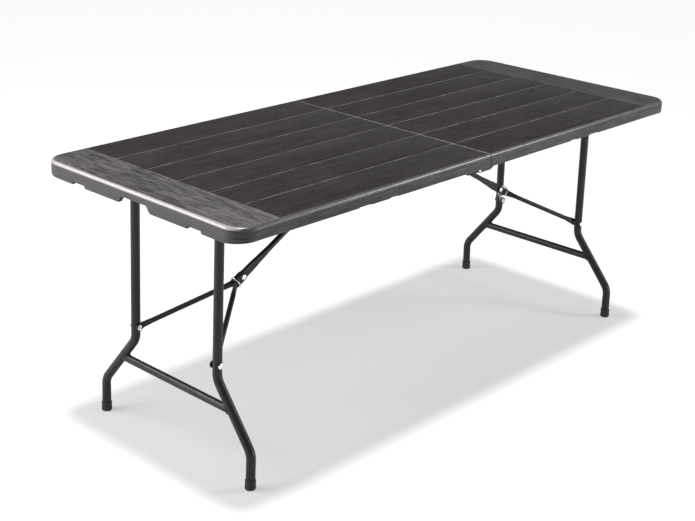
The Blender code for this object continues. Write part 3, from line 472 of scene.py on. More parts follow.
def drill(centre, radius, length):
    """A cutter for a hole along Y."""
    return turned(Vector(centre) - AXIS_Y * (length / 2), AXIS_Y, [(0, radius), (length, radius)])


def dome(start, radius, height, steps=6):
    """Profile of a rounded head that stands on its seat, its rim a fifth of its height tall."""
    rim = height * 0.2
    points = [(start, radius), (start + rim, radius)]
    for k in range(1, steps + 1):
        angle = math.radians(88 * k / steps)
        points.append((start + rim + (height - rim) * math.sin(angle), radius * math.cos(angle)))
    return points


def rounded_polygon(corners, radii, steps=5):
    """A flat outline of (a, b) pairs with each corner rounded by its own radius."""
    outline = []
    for k, (corner, radius) in enumerate(zip(corners, radii)):
        if radius <= 0:
            outline.append(corner)
            continue
        corner = Vector(corner)
        before = (Vector(corners[k - 1]) - corner).normalized()
        after = (Vector(corners[(k + 1) % len(corners)]) - corner).normalized()
        half = before.angle(after) / 2
        reach = radius / math.tan(half)
        centre = corner + (before + after).normalized() * (radius / math.sin(half))
        start, end = corner + before * reach - centre, corner + after * reach - centre
        turn = start.angle_signed(end)
        for step in range(steps + 1):
            angle = -turn * step / steps
            outline.append((centre.x + start.x * math.cos(angle) - start.y * math.sin(angle),
                            centre.y + start.x * math.sin(angle) + start.y * math.cos(angle)))
    return outline


def prism(outline, run):
    """A prism from world points on one face, along the vector run."""
    return loft([[Vector(p) for p in outline], [Vector(p) + run for p in outline]])


def filleted(corners, radius, steps=14):
    """A path through corners, each inner one rounded by an arc of the given radius."""
    path = [corners[0]]
    for before, corner, after in zip(corners, corners[1:], corners[2:]):
        arrive = (corner - before).normalized()
        leave = (after - corner).normalized()
        turn = arrive.angle(leave)
        tangent = radius * math.tan(turn / 2)
        inward = (leave - arrive).normalized()
        centre = corner + inward * (radius / math.cos(turn / 2))
        normal = arrive.cross(leave).normalized()
        start = corner - arrive * tangent - centre
        for k in range(steps + 1):
            path.append(centre + Matrix.Rotation(turn * k / steps, 3, normal) @ start)
    path.append(corners[-1])
    return path


def path_rings(path, flat_normal, radius, first=None, last=None, sides=32):
    """Rings along a flat path. first and last give how far each ring point slides past the path's ends."""
    rings = []
    for i, point in enumerate(path):
        before = path[max(i - 1, 0)]
        after = path[min(i + 1, len(path) - 1)]
        arrive = (point - before).normalized() if i else (after - point).normalized()
        leave = (after - point).normalized() if i < len(path) - 1 else arrive
        along = (arrive + leave).normalized()
        across = flat_normal.cross(along).normalized()
        ring = circle(point, flat_normal, across, radius, sides)
        slide = first if i == 0 else last if i == len(path) - 1 else None
        if slide is not None:
            ring = [p + along * slide(p - point) for p in ring]
        rings.append(ring)
    return rings


def hollow_tube(path, flat_normal, radius, first=None, last=None):
    outer, inner = (path_rings(path, flat_normal, r, first, last) for r in (radius, radius - TUBE_WALL))
    return loft(outer + inner[::-1], closed_loop=True)


def bead(loop, radius, ripples):
    """A weld bead along a closed loop of points, with the ripples that the puddle leaves."""
    count = len(loop)
    centre = sum(loop, Vector()) / count
    rings = []
    for i, point in enumerate(loop):
        along = (loop[(i + 1) % count] - loop[i - 1]).normalized()
        outward = (point - centre)
        outward = (outward - along * outward.dot(along)).normalized()
        up = along.cross(outward)
        swell = radius * (1 + 0.10 * math.sin(2 * math.pi * ripples * i / count))
        rings.append(circle(point, outward, up, swell, 10))
    return loft(rings, closed_loop=True)


def section(centre, side, up, half_width, half_height, squareness, dent=0.0, sides=40):
    """A ring between an ellipse (squareness 2) and a rectangle, its sides pressed in by dent."""
    ring = []
    for i in range(sides):
        angle = 2 * math.pi * (i + 0.5) / sides
        wide, tall = (math.copysign(abs(v) ** (2 / squareness), v) for v in (math.cos(angle), math.sin(angle)))
        pressed = dent * max(0.0, 1 - (tall / DENT_HALF_HEIGHT) ** 2) ** 2
        ring.append(Vector(centre) + side * (half_width * wide - math.copysign(pressed, wide))
                    + up * (half_height * tall))
    return ring


def add_object(name, data):
    made = bpy.data.objects.new(name, data)
    bpy.context.scene.collection.objects.link(made)
    return made


def add_solid(name, shape):
    """A linked object whose mesh is the shape, with its faces turned outwards."""
    mesh = bpy.data.meshes.new(name)
    mesh.from_pydata(shape[0], [], shape[1])
    work = bmesh.new()
    work.from_mesh(mesh)
    bmesh.ops.recalc_face_normals(work, faces=work.faces)
    work.to_mesh(mesh)
    work.free()
    return add_object(name, mesh)


class Builder:
    """Makes pieces, puts them on their bodies and carves them."""

    def __init__(self, finishes):
        self.finishes = finishes

    def piece(self, name, body, finish, shape, *stands_for, sharp=35.0):
        made = add_solid(name, shape)
        materials, slot = self.finishes[finish]
        for material in materials:
            made.data.materials.append(material)
        made["sharp"] = sharp
        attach(made, body)
        if stands_for:
            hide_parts(*stands_for)
        self.shade(made)
        return made

    def carve(self, piece, *shapes):
        """Takes shapes away from a piece, one at a time, and keeps the result as its mesh."""
        for shape in shapes:
            cutter = add_solid("cutter", shape)
            boolean = piece.modifiers.new("cut", "BOOLEAN")
            boolean.operation, boolean.solver, boolean.object = "DIFFERENCE", "EXACT", cutter
            graph = bpy.context.evaluated_depsgraph_get()
            result = bpy.data.meshes.new_from_object(piece.evaluated_get(graph))
            piece.modifiers.clear()
            piece.data = result
            bpy.data.objects.remove(cutter)
        self.shade(piece)

    def soften(self, piece, width):
        """Rounds a piece's sharp edges."""
        work = bmesh.new()
        work.from_mesh(piece.data)
        bmesh.ops.remove_doubles(work, verts=work.verts, dist=1e-6)
        bmesh.ops.dissolve_degenerate(work, dist=1e-6, edges=work.edges)
        limit = math.radians(30.0)
        edges = [e for e in work.edges if len(e.link_faces) == 2 and e.calc_face_angle(0) > limit]
        bmesh.ops.bevel(work, geom=edges, offset=width, segments=2, profile=0.5, affect="EDGES",
                        clamp_overlap=True)
        work.to_mesh(piece.data)
        work.free()
        self.shade(piece)

    def shade(self, piece):
        piece.data.shade_smooth()
        piece.data.set_sharp_from_angle(angle=math.radians(piece["sharp"]))


# The moulded top

def step_pairs(centre, width, depth, base):
    near, far = centre - width / 2, centre + width / 2
    return [(near - STEP_RUN / 2, base), (near + STEP_RUN / 2, depth),
            (far - STEP_RUN / 2, depth), (far + STEP_RUN / 2, base)]


def side_profile(with_tab):
    """Skirt depth along a long side, by distance from the seam."""
    pairs = [(0.0036, SIDE_SKIRT_DEPTH)]
    if with_tab:
        pairs += [(0.006, SIDE_SKIRT_DEPTH), (0.012, HINGE_TAB_DEPTH),
                  (0.018, HINGE_TAB_DEPTH), (HINGE_TAB_REACH, SIDE_SKIRT_DEPTH)]
    for centre, width in SIDE_NOTCHES:
        pairs += step_pairs(centre, width, SIDE_NOTCH_DEPTH, SIDE_SKIRT_DEPTH)
    return eased(pairs, 4, 1)


def end_profile():
    """Skirt depth along the end, from one corner to the other."""
    grip = [(GRIP_RECESS_WIDTH / 2, GRIP_RECESS_DEPTH),
            (GRIP_RECESS_WIDTH / 2 + GRIP_RECESS_SLOPE, END_SKIRT_DEPTH)]
    half = grip + step_pairs(END_NOTCH_CENTRE, END_NOTCH_WIDTH, END_NOTCH_DEPTH, END_SKIRT_DEPTH)
    return eased([(-place, depth) for place, depth in reversed(half)] + half, 4, 1)


def plan_corner(y_side, inset, start_angle, depths, steps=18):
    """Points round the plan corner at -X, inset from its edge."""
    centre = (-HALF_LENGTH + CORNER_RADIUS, y_side * (HALF_WIDTH - CORNER_RADIUS))
    points = []
    for k in range(steps + 1):
        angle = math.radians(start_angle + 90 * k / steps)
        depth = depths[0] + (depths[1] - depths[0]) * k / steps
        points.append((centre[0] + (CORNER_RADIUS - inset) * math.cos(angle),
                       centre[1] + (CORNER_RADIUS - inset) * math.sin(angle), depth))
    return points


def long_side(with_tab, seam_x, edge_y):
    """Points along a long side from the seam outwards, clear of the seam wall's own thickness."""
    points = [(-seam_x, edge_y, SEAM_WALL_DEPTH), (-seam_x - 0.003, edge_y, SIDE_SKIRT_DEPTH)]
    for k, (place, depth) in enumerate(side_profile(with_tab)):
        points.append((-max(place, seam_x + 0.003 + 0.0002 * (k + 1)), edge_y, depth))
    return points


def panel_outline(inset, seam_inset):
    """Plan points round the half at -X, each with its skirt depth, anticlockwise from the seam."""
    seam_x = SEAM_GAP / 2 + seam_inset
    edge_y = HALF_WIDTH - inset
    depths = (SIDE_SKIRT_DEPTH, END_SKIRT_DEPTH)
    points = long_side(False, seam_x, edge_y)
    points += plan_corner(1, inset, 90, depths)
    points += [(-HALF_LENGTH + inset, place, depth) for place, depth in reversed(end_profile())]
    points += plan_corner(-1, inset, 180, depths[::-1])
    points += reversed(long_side(True, seam_x, -edge_y))
    return points


def panel_rings():
    """Rings from the edge of the top face, over the rim, down the skirt and up inside to the underside."""
    rings = []

    def ring(inset, seam_inset, base, depth_share):
        rings.append([Vector((x, y, base - depth * depth_share))
                      for x, y, depth in panel_outline(inset, seam_inset)])

    for near, far in quarter(8):
        ring(RIM_RADIUS * near, SEAM_RIM_RADIUS * near, HEIGHT - RIM_RADIUS * far, 0)
    for near, far in quarter(4):
        ring(LIP_RADIUS * far, LIP_RADIUS * far, HEIGHT + LIP_RADIUS * near, 1)
    inner_lip = LIP_RADIUS * 0.6
    for near, far in quarter(3):
        inset = SKIRT_THICKNESS - inner_lip * near
        ring(inset, inset, HEIGHT + inner_lip * far, 1)
    for near, far in quarter(4):
        inset = SKIRT_THICKNESS + SKIRT_FILLET * far * 0.5
        ring(inset, inset, FIELD_UNDERSIDE - SKIRT_FILLET * near, 0)
    return rings


def groove_drop(x, y):
    """How deep the plank grooves are below the top face at a point of the half at -X."""
    def notch(offset):
        t = min(abs(offset) / GROOVE_HALF_WIDTH, 1.0)
        return GROOVE_DEPTH * (1 - ease(t))

    fade = min(max((GROOVE_END_Y + GROOVE_FADE - abs(y)) / GROOVE_FADE, 0.0), 1.0)
    across = notch(abs(x) - END_PLANK_X) * fade
    along = 0.0
    if abs(x) <= END_PLANK_X:
        along = max(notch(y - row * PLANK_WIDTH) for row in range(-2, 3))
    return max(across, along)


def slice_faces(work, faces, cuts):
    """Cuts flat faces across each axis at each place and returns all the faces that are left there."""
    for axis, place in cuts:
        geometry = (list(faces) + list({e for f in faces for e in f.edges})
                    + list({v for f in faces for v in f.verts}))
        result = bmesh.ops.bisect_plane(work, geom=geometry, dist=1e-7, plane_co=axis * place, plane_no=axis)
        faces = [g for g in result["geom"] if isinstance(g, bmesh.types.BMFace)]
    return faces


def cut_grooves(work, top):
    """Presses the plank grooves into the top face."""
    shares = [share * GROOVE_HALF_WIDTH for share in GROOVE_CUTS]
    cuts = [(AXIS_Y, row * PLANK_WIDTH + share) for row in range(-2, 3) for share in shares]
    cuts += [(AXIS_X, -END_PLANK_X + share) for share in shares]
    cuts += [(AXIS_Y, y_side * edge) for edge in (GROOVE_END_Y, GROOVE_END_Y + GROOVE_FADE)
             for y_side in (-1, 1)]
    top = slice_faces(work, top, cuts)
    for vertex in {v for f in top for v in f.verts}:
        vertex.co.z -= groove_drop(vertex.co.x, vertex.co.y)
    return top


def spread(low, high, pitch):
    """Places from low to high at about the given pitch, both ends included."""
    count = max(1, round((high - low) / pitch))
    return [low + (high - low) * k / count for k in range(count + 1)]


def press_underside(work, bottom):
    """Moulds the channel for the brace and rows of shallow stiffening pockets into the underside."""
    near, far = CHANNEL_ENDS
    cuts = [(AXIS_X, -near), (AXIS_X, -far), (AXIS_Y, -CHANNEL_HALF_WIDTH), (AXIS_Y, CHANNEL_HALF_WIDTH)]
    cuts += [(AXIS_X, -x) for x in spread(*POCKET_X, POCKET_PITCH)]
    cuts += [(AXIS_Y, y_side * y) for y in spread(*POCKET_Y, POCKET_PITCH) for y_side in (-1, 1)]
    channel, pockets = [], []
    for face in slice_faces(work, bottom, cuts):
        place = face.calc_center_median()
        if abs(place.y) < CHANNEL_HALF_WIDTH and near < -place.x < far:
            channel.append(face)
        elif POCKET_X[0] < -place.x < POCKET_X[1] and POCKET_Y[0] < abs(place.y) < POCKET_Y[1]:
            pockets.append(face)
    bmesh.ops.inset_region(work, faces=channel, thickness=0.0006, depth=FIELD_UNDERSIDE - CHANNEL_ROOF,
                           use_even_offset=True)
    for width, depth in ((POCKET_WALL / 2, 0.0), (POCKET_SLOPE, -POCKET_DEPTH), (0.0012, -0.0004)):
        bmesh.ops.inset_individual(work, faces=pockets, thickness=width, depth=depth)


FIELD, PLANK, SKIRT, UNDERSIDE, GROOVE, CROSS_GROOVE, RIM = range(7)


def top_group(place):
    if groove_drop(place.x, place.y) > GROOVE_DEPTH * 0.45:
        return CROSS_GROOVE if abs(abs(place.x) - END_PLANK_X) < GROOVE_HALF_WIDTH else GROOVE
    return PLANK if abs(place.x) > END_PLANK_X else FIELD


def edge_group(place, normal):
    """Which material a face of the rim, the skirt or the underside has."""
    if normal.z < -0.7 or abs(place.x) < 0.0008:
        return UNDERSIDE
    if place.z > FIELD_UNDERSIDE and normal.z > 0.12:
        return RIM
    # Skirt faces within 4.5 mm of the seam take the darker underside material: painted shade beside the seam
    # gap.
    return UNDERSIDE if abs(place.x) < 0.0045 else SKIRT


def paint_groups(work, top):
    top = set(top)
    for face in work.faces:
        face.normal_update()
        place = face.calc_center_median()
        face.material_index = top_group(place) if face in top else edge_group(place, face.normal)


def build_panel(builder, label, side):
    """One half of the top, with its grooves, stepped skirt, channel and stiffening pockets."""
    panel = builder.piece(label + "_top_panel", label + "_half", "moulded_" + label, loft(panel_rings()),
                          label + "_panel", sharp=38.0)
    work = bmesh.new()
    work.from_mesh(panel.data)
    work.faces.ensure_lookup_table()
    flats = [f for f in work.faces if len(f.verts) > 20]
    top = cut_grooves(work, [f for f in flats if f.calc_center_median().z > HEIGHT - 1e-5])
    press_underside(work, [f for f in work.faces if len(f.verts) > 20 and f.normal.z < 0])
    paint_groups(work, top)
    if side > 0:
        bmesh.ops.rotate(work, verts=work.verts, cent=(0, 0, 0), matrix=Matrix.Rotation(math.pi, 3, "Z"))
    work.to_mesh(panel.data)
    work.free()
    builder.shade(panel)


# Rails and what they carry

def build_rail(builder, start, half, side, y_side):
    """A folded angle with a rounded bend: a web beside the brackets and a flange against the top."""
    low, top, edge = RAIL_LOW.z, RAIL_HIGH.z, RAIL_HIGH.y
    corners = [(RAIL_WEB_Y, low), (RAIL_OUTER_Y, low), (RAIL_OUTER_Y, top - RAIL_SHEET),
               (edge, top - RAIL_SHEET), (edge, top), (RAIL_WEB_Y, top)]
    outline = rounded_polygon(corners, [0.0006, 0.0006, 0.0010, 0.0006, 0.0006, 0.0026])
    face = [(side * RAIL_LOW.x, y_side * y, z) for y, z in outline]
    rail = builder.piece(start + "_side_rail", half, "painted",
                         prism(face, AXIS_X * (side * (RAIL_HIGH.x - RAIL_LOW.x))), start + "_rail")
    web = y_side * (RAIL_WEB_Y + RAIL_OUTER_Y) / 2
    builder.carve(rail, *(drill((side * place.x, web, place.z), radius, 0.01) for place, radius in (
        (BRACE_TOP, CROSS_TUBE_RADIUS + GAP), (LEG_PIVOT, BUSH_RADIUS + 3 * GAP))))


def headed(origin, axis, shank, radius, height):
    """A domed head with a short shank below its seat. The head grows from origin along axis."""
    return turned(origin, axis, [(-0.004, shank), (0.0, shank)] + dome(0.0, radius, height, 5), sides=24)


def screw_shape(origin):
    return headed(origin, -AXIS_Z, 0.0022, SCREW_HEAD_RADIUS, SCREW_HEAD_HEIGHT)


def cross_recess(seat, reach=0.0030, half_width=0.00045, depth=0.0014):
    """The two crossed slots of a driver recess, from just above a screw's head down into it."""
    origin, axis = seat - AXIS_Z * SCREW_HEAD_HEIGHT, -AXIS_Z
    first = axis.orthogonal().normalized()
    shapes = []
    for along, across in ((first, axis.cross(first)), (axis.cross(first), first)):
        near = [origin + along * (a * reach) + across * (b * half_width) + axis * 0.001
                for a, b in ((-1, -1), (1, -1), (1, 1), (-1, 1))]
        shapes.append(prism(near, -axis * (depth + 0.001)))
    return shapes


def build_screws(builder, start, half, side, y_side):
    y = y_side * (RAIL_WEB_Y + (RAIL_HIGH.y - RAIL_WEB_Y) * 0.6)
    for end, place in zip(("inner", "outer"), SCREW_POSITIONS):
        seat = Vector((side * place, y, RAIL_HIGH.z - RAIL_SHEET - GAP))
        name = start + "_" + end + "_rail_screw"
        made = builder.piece(name + "_head", half, "zinc", screw_shape(seat), name)
        builder.carve(made, *cross_recess(seat))


def build_cross_tube(builder, label, side):
    """The tube that the upper arm turns on, with its ends rounded over outside the rails."""
    start = Vector((side * BRACE_TOP.x, 0, BRACE_TOP.z)) - AXIS_Y * CROSS_TUBE_REACH
    radius, bore = CROSS_TUBE_RADIUS, CROSS_TUBE_RADIUS - TUBE_WALL
    outer = [(0, radius - 0.0008), (0.0008 * 0.3, radius - 0.0008 * 0.3), (0.0008, radius), (0.01, radius)]
    inner = [(0, bore), (0.0003, bore - 0.0001), (0.001, bore), (0.01, bore)]
    outer, inner = (end + [(2 * CROSS_TUBE_REACH - a, r) for a, r in reversed(end)] for end in (outer, inner))
    builder.piece(label + "_cross_tube", label + "_half", "painted", turned(start, AXIS_Y, outer, inner),
                  label + "_brace_cross_tube")


def build_bracket(builder, start, half, side, y_side):
    """A pressed angle with a round eye for the bush, and the screws that hold it to the top."""
    axis = Vector((side * LEG_PIVOT.x, 0, LEG_PIVOT.z))
    half_length, outer, inner = BRACKET_LENGTH / 2, BRACKET_Y + BRACKET_SHEET, BRACKET_Y - BRACKET_FLANGE
    top = RAIL_HIGH.z - LEG_PIVOT.z
    low = top - BRACKET_SHEET
    outline = [(-half_length, top), (half_length, top)] + arc(BRACKET_EYE_RADIUS, 0, -180)
    web = [axis + Vector((x, y_side * BRACKET_Y, z)) for x, z in outline]
    bend = rounded_polygon([(outer, top), (inner, top), (inner, low), (BRACKET_Y + 0.0004, low)],
                           [0.0016, 0.0006, 0.0006, 0.0])
    flange = [axis + Vector((-half_length, y_side * y, z)) for y, z in bend]
    name = start + "_pivot_plate"
    bracket = builder.piece(name, half, "painted", prism(web, AXIS_Y * (y_side * BRACKET_SHEET)),
                            start + "_pivot_bracket")
    eye = axis + AXIS_Y * (y_side * (BRACKET_Y + BRACKET_SHEET / 2))
    builder.carve(bracket, drill(eye, BUSH_RADIUS + 2 * GAP, 0.01))
    builder.soften(bracket, 0.0004)
    builder.piece(name + "_flange", half, "painted", prism(flange, AXIS_X * BRACKET_LENGTH))
    seats = [axis + Vector((x_side * BRACKET_SCREW_X, y_side * (BRACKET_Y - BRACKET_SCREW_INSET), low))
             for x_side in (-1, 1)]
    screws = builder.piece(name + "_screws", half, "zinc", joined(*map(screw_shape, seats)))
    for seat in seats:
        builder.carve(screws, *cross_recess(seat))


def build_bush(builder, start, half, side, y_side):
    """A flanged nylon sleeve with its edges broken."""
    origin = Vector((side * LEG_PIVOT.x, y_side * BUSH_START_Y, LEG_PIVOT.z))
    length, bore = BUSH_REACH - BUSH_START_Y, SWAGED_RADIUS + GAP
    flat, rim, body = BUSH_FLANGE_THICKNESS, BUSH_FLANGE_RADIUS, BUSH_RADIUS
    outer = [(0.0, rim - 0.0005), (0.0004, rim), (flat - 0.0002, rim), (flat, rim - 0.0002), (flat, body),
             (length - 0.0006, body), (length, body - 0.0005)]
    inner = [(0.0, bore + 0.0004), (0.0004, bore), (flat, bore), (length - 0.001, bore),
             (length - 0.0008, bore), (length - 0.0004, bore), (length, bore + 0.0004)]
    builder.piece(start + "_bush", half, "nylon", turned(origin, AXIS_Y * y_side, outer, inner),
                  start + "_pivot_bush")


# Middle hinges

def build_leaf(builder, place, label, side, y_side):
    """A hinge leaf with a round knuckle, riveted to the rail's web."""
    top, low = RAIL_HIGH.z - RAIL_SHEET - GAP - HINGE_Z, RAIL_LOW.z - HINGE_Z
    near = RAIL_WEB_Y - GAP - LEAF_THICKNESS if side < 0 else RAIL_OUTER_Y + GAP
    outline = [(LEAF_REACH, low), (LEAF_REACH, top), (LEAF_NECK + LEAF_STEP, top),
               (LEAF_NECK, LEAF_RADIUS + LEAF_STEP), *arc(LEAF_RADIUS, 90, 180), (LEAF_NECK, -LEAF_RADIUS)]
    points = [Vector((side * x, y_side * near, HINGE_Z + z)) for x, z in outline]
    name, half = place + "_hinge_" + label, label + "_half"
    leaf = builder.piece(name + "_plate", half, "painted", prism(points, AXIS_Y * (y_side * LEAF_THICKNESS)),
                         name + "_leaf")
    builder.carve(leaf, drill((0, y_side * (near + LEAF_THICKNESS / 2), HINGE_Z), HINGE_PIN_RADIUS + GAP, 0.01))
    builder.soften(leaf, 0.0004)
    free_face = near if side < 0 else near + LEAF_THICKNESS
    heads = [headed(Vector((side * x, y_side * free_face, HINGE_Z + (top + low) / 2)), AXIS_Y * (y_side * side),
                    0.0024, 0.0045, 0.0018) for x in LEAF_RIVET_X]
    builder.piece(name + "_rivets", half, "zinc", joined(*heads))


def build_hinge_pin(builder, place, y_side):
    """A riveted pin with domed heads and a shoulder between the two leaves."""
    inner_face = RAIL_WEB_Y - GAP - LEAF_THICKNESS - GAP
    outer_face = RAIL_OUTER_Y + GAP + LEAF_THICKNESS + GAP
    start = inner_face - HINGE_HEAD_HEIGHT
    head = dome(0.0, HINGE_HEAD_RADIUS, HINGE_HEAD_HEIGHT)
    profile = [(HINGE_HEAD_HEIGHT - along, radius) for along, radius in reversed(head)]
    for radius, ends in ((HINGE_PIN_RADIUS, (inner_face, RAIL_WEB_Y)),
                         (HINGE_HEAD_RADIUS, (RAIL_WEB_Y, RAIL_OUTER_Y)),
                         (HINGE_PIN_RADIUS, (RAIL_OUTER_Y, outer_face))):
        profile += [(along - start, radius) for along in ends]
    profile += [(outer_face - start + along, radius) for along, radius in head]
    builder.piece(place + "_hinge_rivet_pin", "left_half", "zinc",
                  turned(Vector((0, y_side * start, HINGE_Z)), AXIS_Y * y_side, profile), place + "_hinge_pin")


# Leg frames

class LegPlane:
    """The flat plane of one leg frame: w runs from the pivot down the legs, and y across the table."""

    def __init__(self, side):
        tilt = math.atan2(LEG_SPLAY, LEG_PIVOT.z)
        self.tilt = tilt
        self.pivot = Vector((side * LEG_PIVOT.x, 0, LEG_PIVOT.z))
        self.down = Vector((side * math.sin(tilt), 0, -math.cos(tilt)))
        self.out = Vector((side * math.cos(tilt), 0, math.sin(tilt)))
        self.length = LEG_PIVOT.z / math.cos(tilt)
        self.bend_top = self.w_at_height(UPPER_BEND_HEIGHT)
        self.bend_low = self.w_at_height(LOWER_BEND_HEIGHT)

    def at(self, y, w):
        return self.pivot + AXIS_Y * y + self.down * w

    def w_at_height(self, z):
        return (LEG_PIVOT.z - z) / math.cos(self.tilt)


def stand_off(plane, radius):
    """How far a tube's edge stands back from the axis of a tube of this radius that it meets squarely."""
    def slide(offset):
        reach = offset.dot(plane.out)
        return math.sqrt(max(radius * radius - reach * reach, 0.0))
    return slide


def build_leg(builder, start, body, plane, y_side):
    """A bent tube, welded to the pivot tube at its top."""
    top_y, foot_y = y_side * LEG_HALF_SPACING, y_side * FOOT_HALF_SPACING
    path = filleted([plane.at(top_y, 0), plane.at(top_y, plane.bend_top), plane.at(foot_y, plane.bend_low),
                     plane.at(foot_y, plane.length - LEG_END_LIFT)], BEND_RADIUS)
    shape = hollow_tube(path, plane.out, LEG_RADIUS, stand_off(plane, LEG_RADIUS + GAP))
    leg = builder.piece(start + "_leg", body, "painted", shape, start + "_leg_tube", sharp=50.0)
    rivet = plane.at(top_y, plane.w_at_height(LEG_RIVET_HEIGHT))
    builder.carve(leg, drill(rivet, RIVET_RADIUS + GAP, 3 * LEG_RADIUS))
    seam = path_rings(path[:2], plane.out, LEG_RADIUS + WELD_STAND, stand_off(plane, LEG_RADIUS + WELD_SEAT),
                      sides=64)[0]
    builder.piece(start + "_leg_top_weld", body, "painted", bead(seam, WELD_RADIUS, 15), sharp=80.0)


def stretcher_slides(plane, radius):
    """The stretcher's half length, and how far its end points slide to lie on the slanting legs."""
    share = (plane.w_at_height(STRETCHER_HEIGHT) - plane.bend_top) / (plane.bend_low - plane.bend_top)
    y_leg = LEG_HALF_SPACING + (FOOT_HALF_SPACING - LEG_HALF_SPACING) * share
    slant = math.atan2(FOOT_HALF_SPACING - LEG_HALF_SPACING, plane.bend_low - plane.bend_top)

    def slide(y_side):
        def back(offset):
            across, lower = offset.dot(plane.out), offset.dot(plane.down)
            return y_side * (lower * math.tan(slant)
                             - math.sqrt(max(radius ** 2 - across ** 2, 0)) / math.cos(slant))
        return back
    return y_leg, slide


def build_stretcher(builder, label, plane):
    """The bar between the legs, fish-mouthed and welded at both ends."""
    body, w = label + "_leg_frame", plane.w_at_height(STRETCHER_HEIGHT)
    y_leg, slide = stretcher_slides(plane, LEG_RADIUS + GAP)
    path = [plane.at(-y_leg, w), plane.at(y_leg, w)]
    shape = hollow_tube(path, plane.out, STRETCHER_RADIUS, slide(-1), slide(1))
    builder.piece(label + "_stretcher", body, "painted", shape, label + "_leg_stretcher", sharp=50.0)
    slide = stretcher_slides(plane, LEG_RADIUS + WELD_SEAT)[1]
    rings = path_rings(path, plane.out, STRETCHER_RADIUS + WELD_STAND, slide(-1), slide(1), sides=64)
    builder.piece(label + "_stretcher_welds", body, "painted",
                  joined(*(bead(ring, WELD_RADIUS, 14) for ring in rings)), sharp=80.0)


def mirrored(half, middle):
    """A profile on both sides of its middle, from the half whose places are measured from there."""
    return [(middle - y, r) for y, r in reversed(half)] + [(middle + y, r) for y, r in half]


def build_pivot_tube(builder, label, plane):
    """The tube across the top of a leg frame, swaged down at both ends to turn in the bushes."""
    reach, shoulder = PIVOT_TUBE_REACH, BUSH_START_Y - 2 * GAP
    half = [(shoulder - SWAGE_LENGTH * (1 - k / 8), LEG_RADIUS + (SWAGED_RADIUS - LEG_RADIUS) * ease(k / 8))
            for k in range(9)]
    half += [(reach - 0.0008, SWAGED_RADIUS), (reach, SWAGED_RADIUS - 0.0007)]
    outer = mirrored(half, reach)
    inner = [(along, radius - TUBE_WALL) for along, radius in outer]
    builder.piece(label + "_pivot_tube", label + "_leg_frame", "painted",
                  turned(plane.at(-reach, 0), AXIS_Y, outer, inner), label + "_leg_pivot_tube")


def build_foot(builder, start, body, plane, y_side):
    """A rubber cap with a rolled rim, a grip bead and a rounded, level sole."""
    def ring_at(w, radius):
        return circle(plane.at(y_side * FOOT_HALF_SPACING, w), AXIS_Y, plane.out, radius, 40)

    def level(lift, radius):
        return [p + plane.down * ((p.z - lift) / math.cos(plane.tilt)) for p in ring_at(plane.length, radius)]

    rim, bore = plane.length - FOOT_HEIGHT, LEG_RADIUS + GAP
    rings = [level(*sole) for sole in ((0.0009, 0.004), (0.0009, 0.0085), (0.0, 0.0095))]
    rings += [level(lift, FOOT_RADIUS - cut) for lift, cut in (
        (0.0, 0.0022), (0.0004, 0.0011), (0.0013, 0.0003), (0.0026, 0.0), (0.0085, 0.0001))]
    rings += [ring_at(rim + place, FOOT_RADIUS - cut) for place, cut in (
        (0.0085, 0.0006), (0.0050, 0.0007), (0.0040, 0.0001), (0.0012, 0.0), (0.0003, 0.0004), (0.0, 0.0012))]
    rings += [ring_at(rim, bore), ring_at(plane.length - 0.004, bore)]
    builder.piece(start + "_foot_cap", body, "rubber", loft(rings), start + "_foot", sharp=60.0)


def build_leg_rivet(builder, start, body, plane, y_side):
    """A rivet with a domed head outside."""
    centre, axis = plane.at(0, plane.w_at_height(LEG_RIVET_HEIGHT)), AXIS_Y * y_side
    inside, seat = LEG_HALF_SPACING - LEG_RADIUS - GAP, LEG_HALF_SPACING + LEG_RADIUS + GAP
    shank = seat - inside
    profile = [(0, RIVET_RADIUS - 0.0004), (0.0004, RIVET_RADIUS), (shank, RIVET_RADIUS)]
    profile += dome(shank, RIVET_HEAD_RADIUS, RIVET_HEAD_HEIGHT)
    builder.piece(start + "_rivet", body, "zinc", turned(centre + axis * inside, axis, profile),
                  start + "_leg_rivet", sharp=50.0)


# Braces

class Brace:
    """Places along one brace, from the cross tube through the knuckle to the leg rivet."""

    def __init__(self, side):
        plane = LegPlane(1)
        rivet = plane.at(0, plane.w_at_height(LEG_RIVET_HEIGHT))
        self.top = Vector((side * BRACE_TOP.x, 0, BRACE_TOP.z))
        self.knuckle = Vector((side * KNUCKLE.x, 0, KNUCKLE.z))
        self.rivet = Vector((side * rivet.x, 0, rivet.z))
        self.along = (self.knuckle - self.top).normalized()
        self.up = self.along.cross(AXIS_Y) * side
        self.upper_length = (self.knuckle - self.top).length
        self.lower_length = (self.rivet - self.knuckle).length


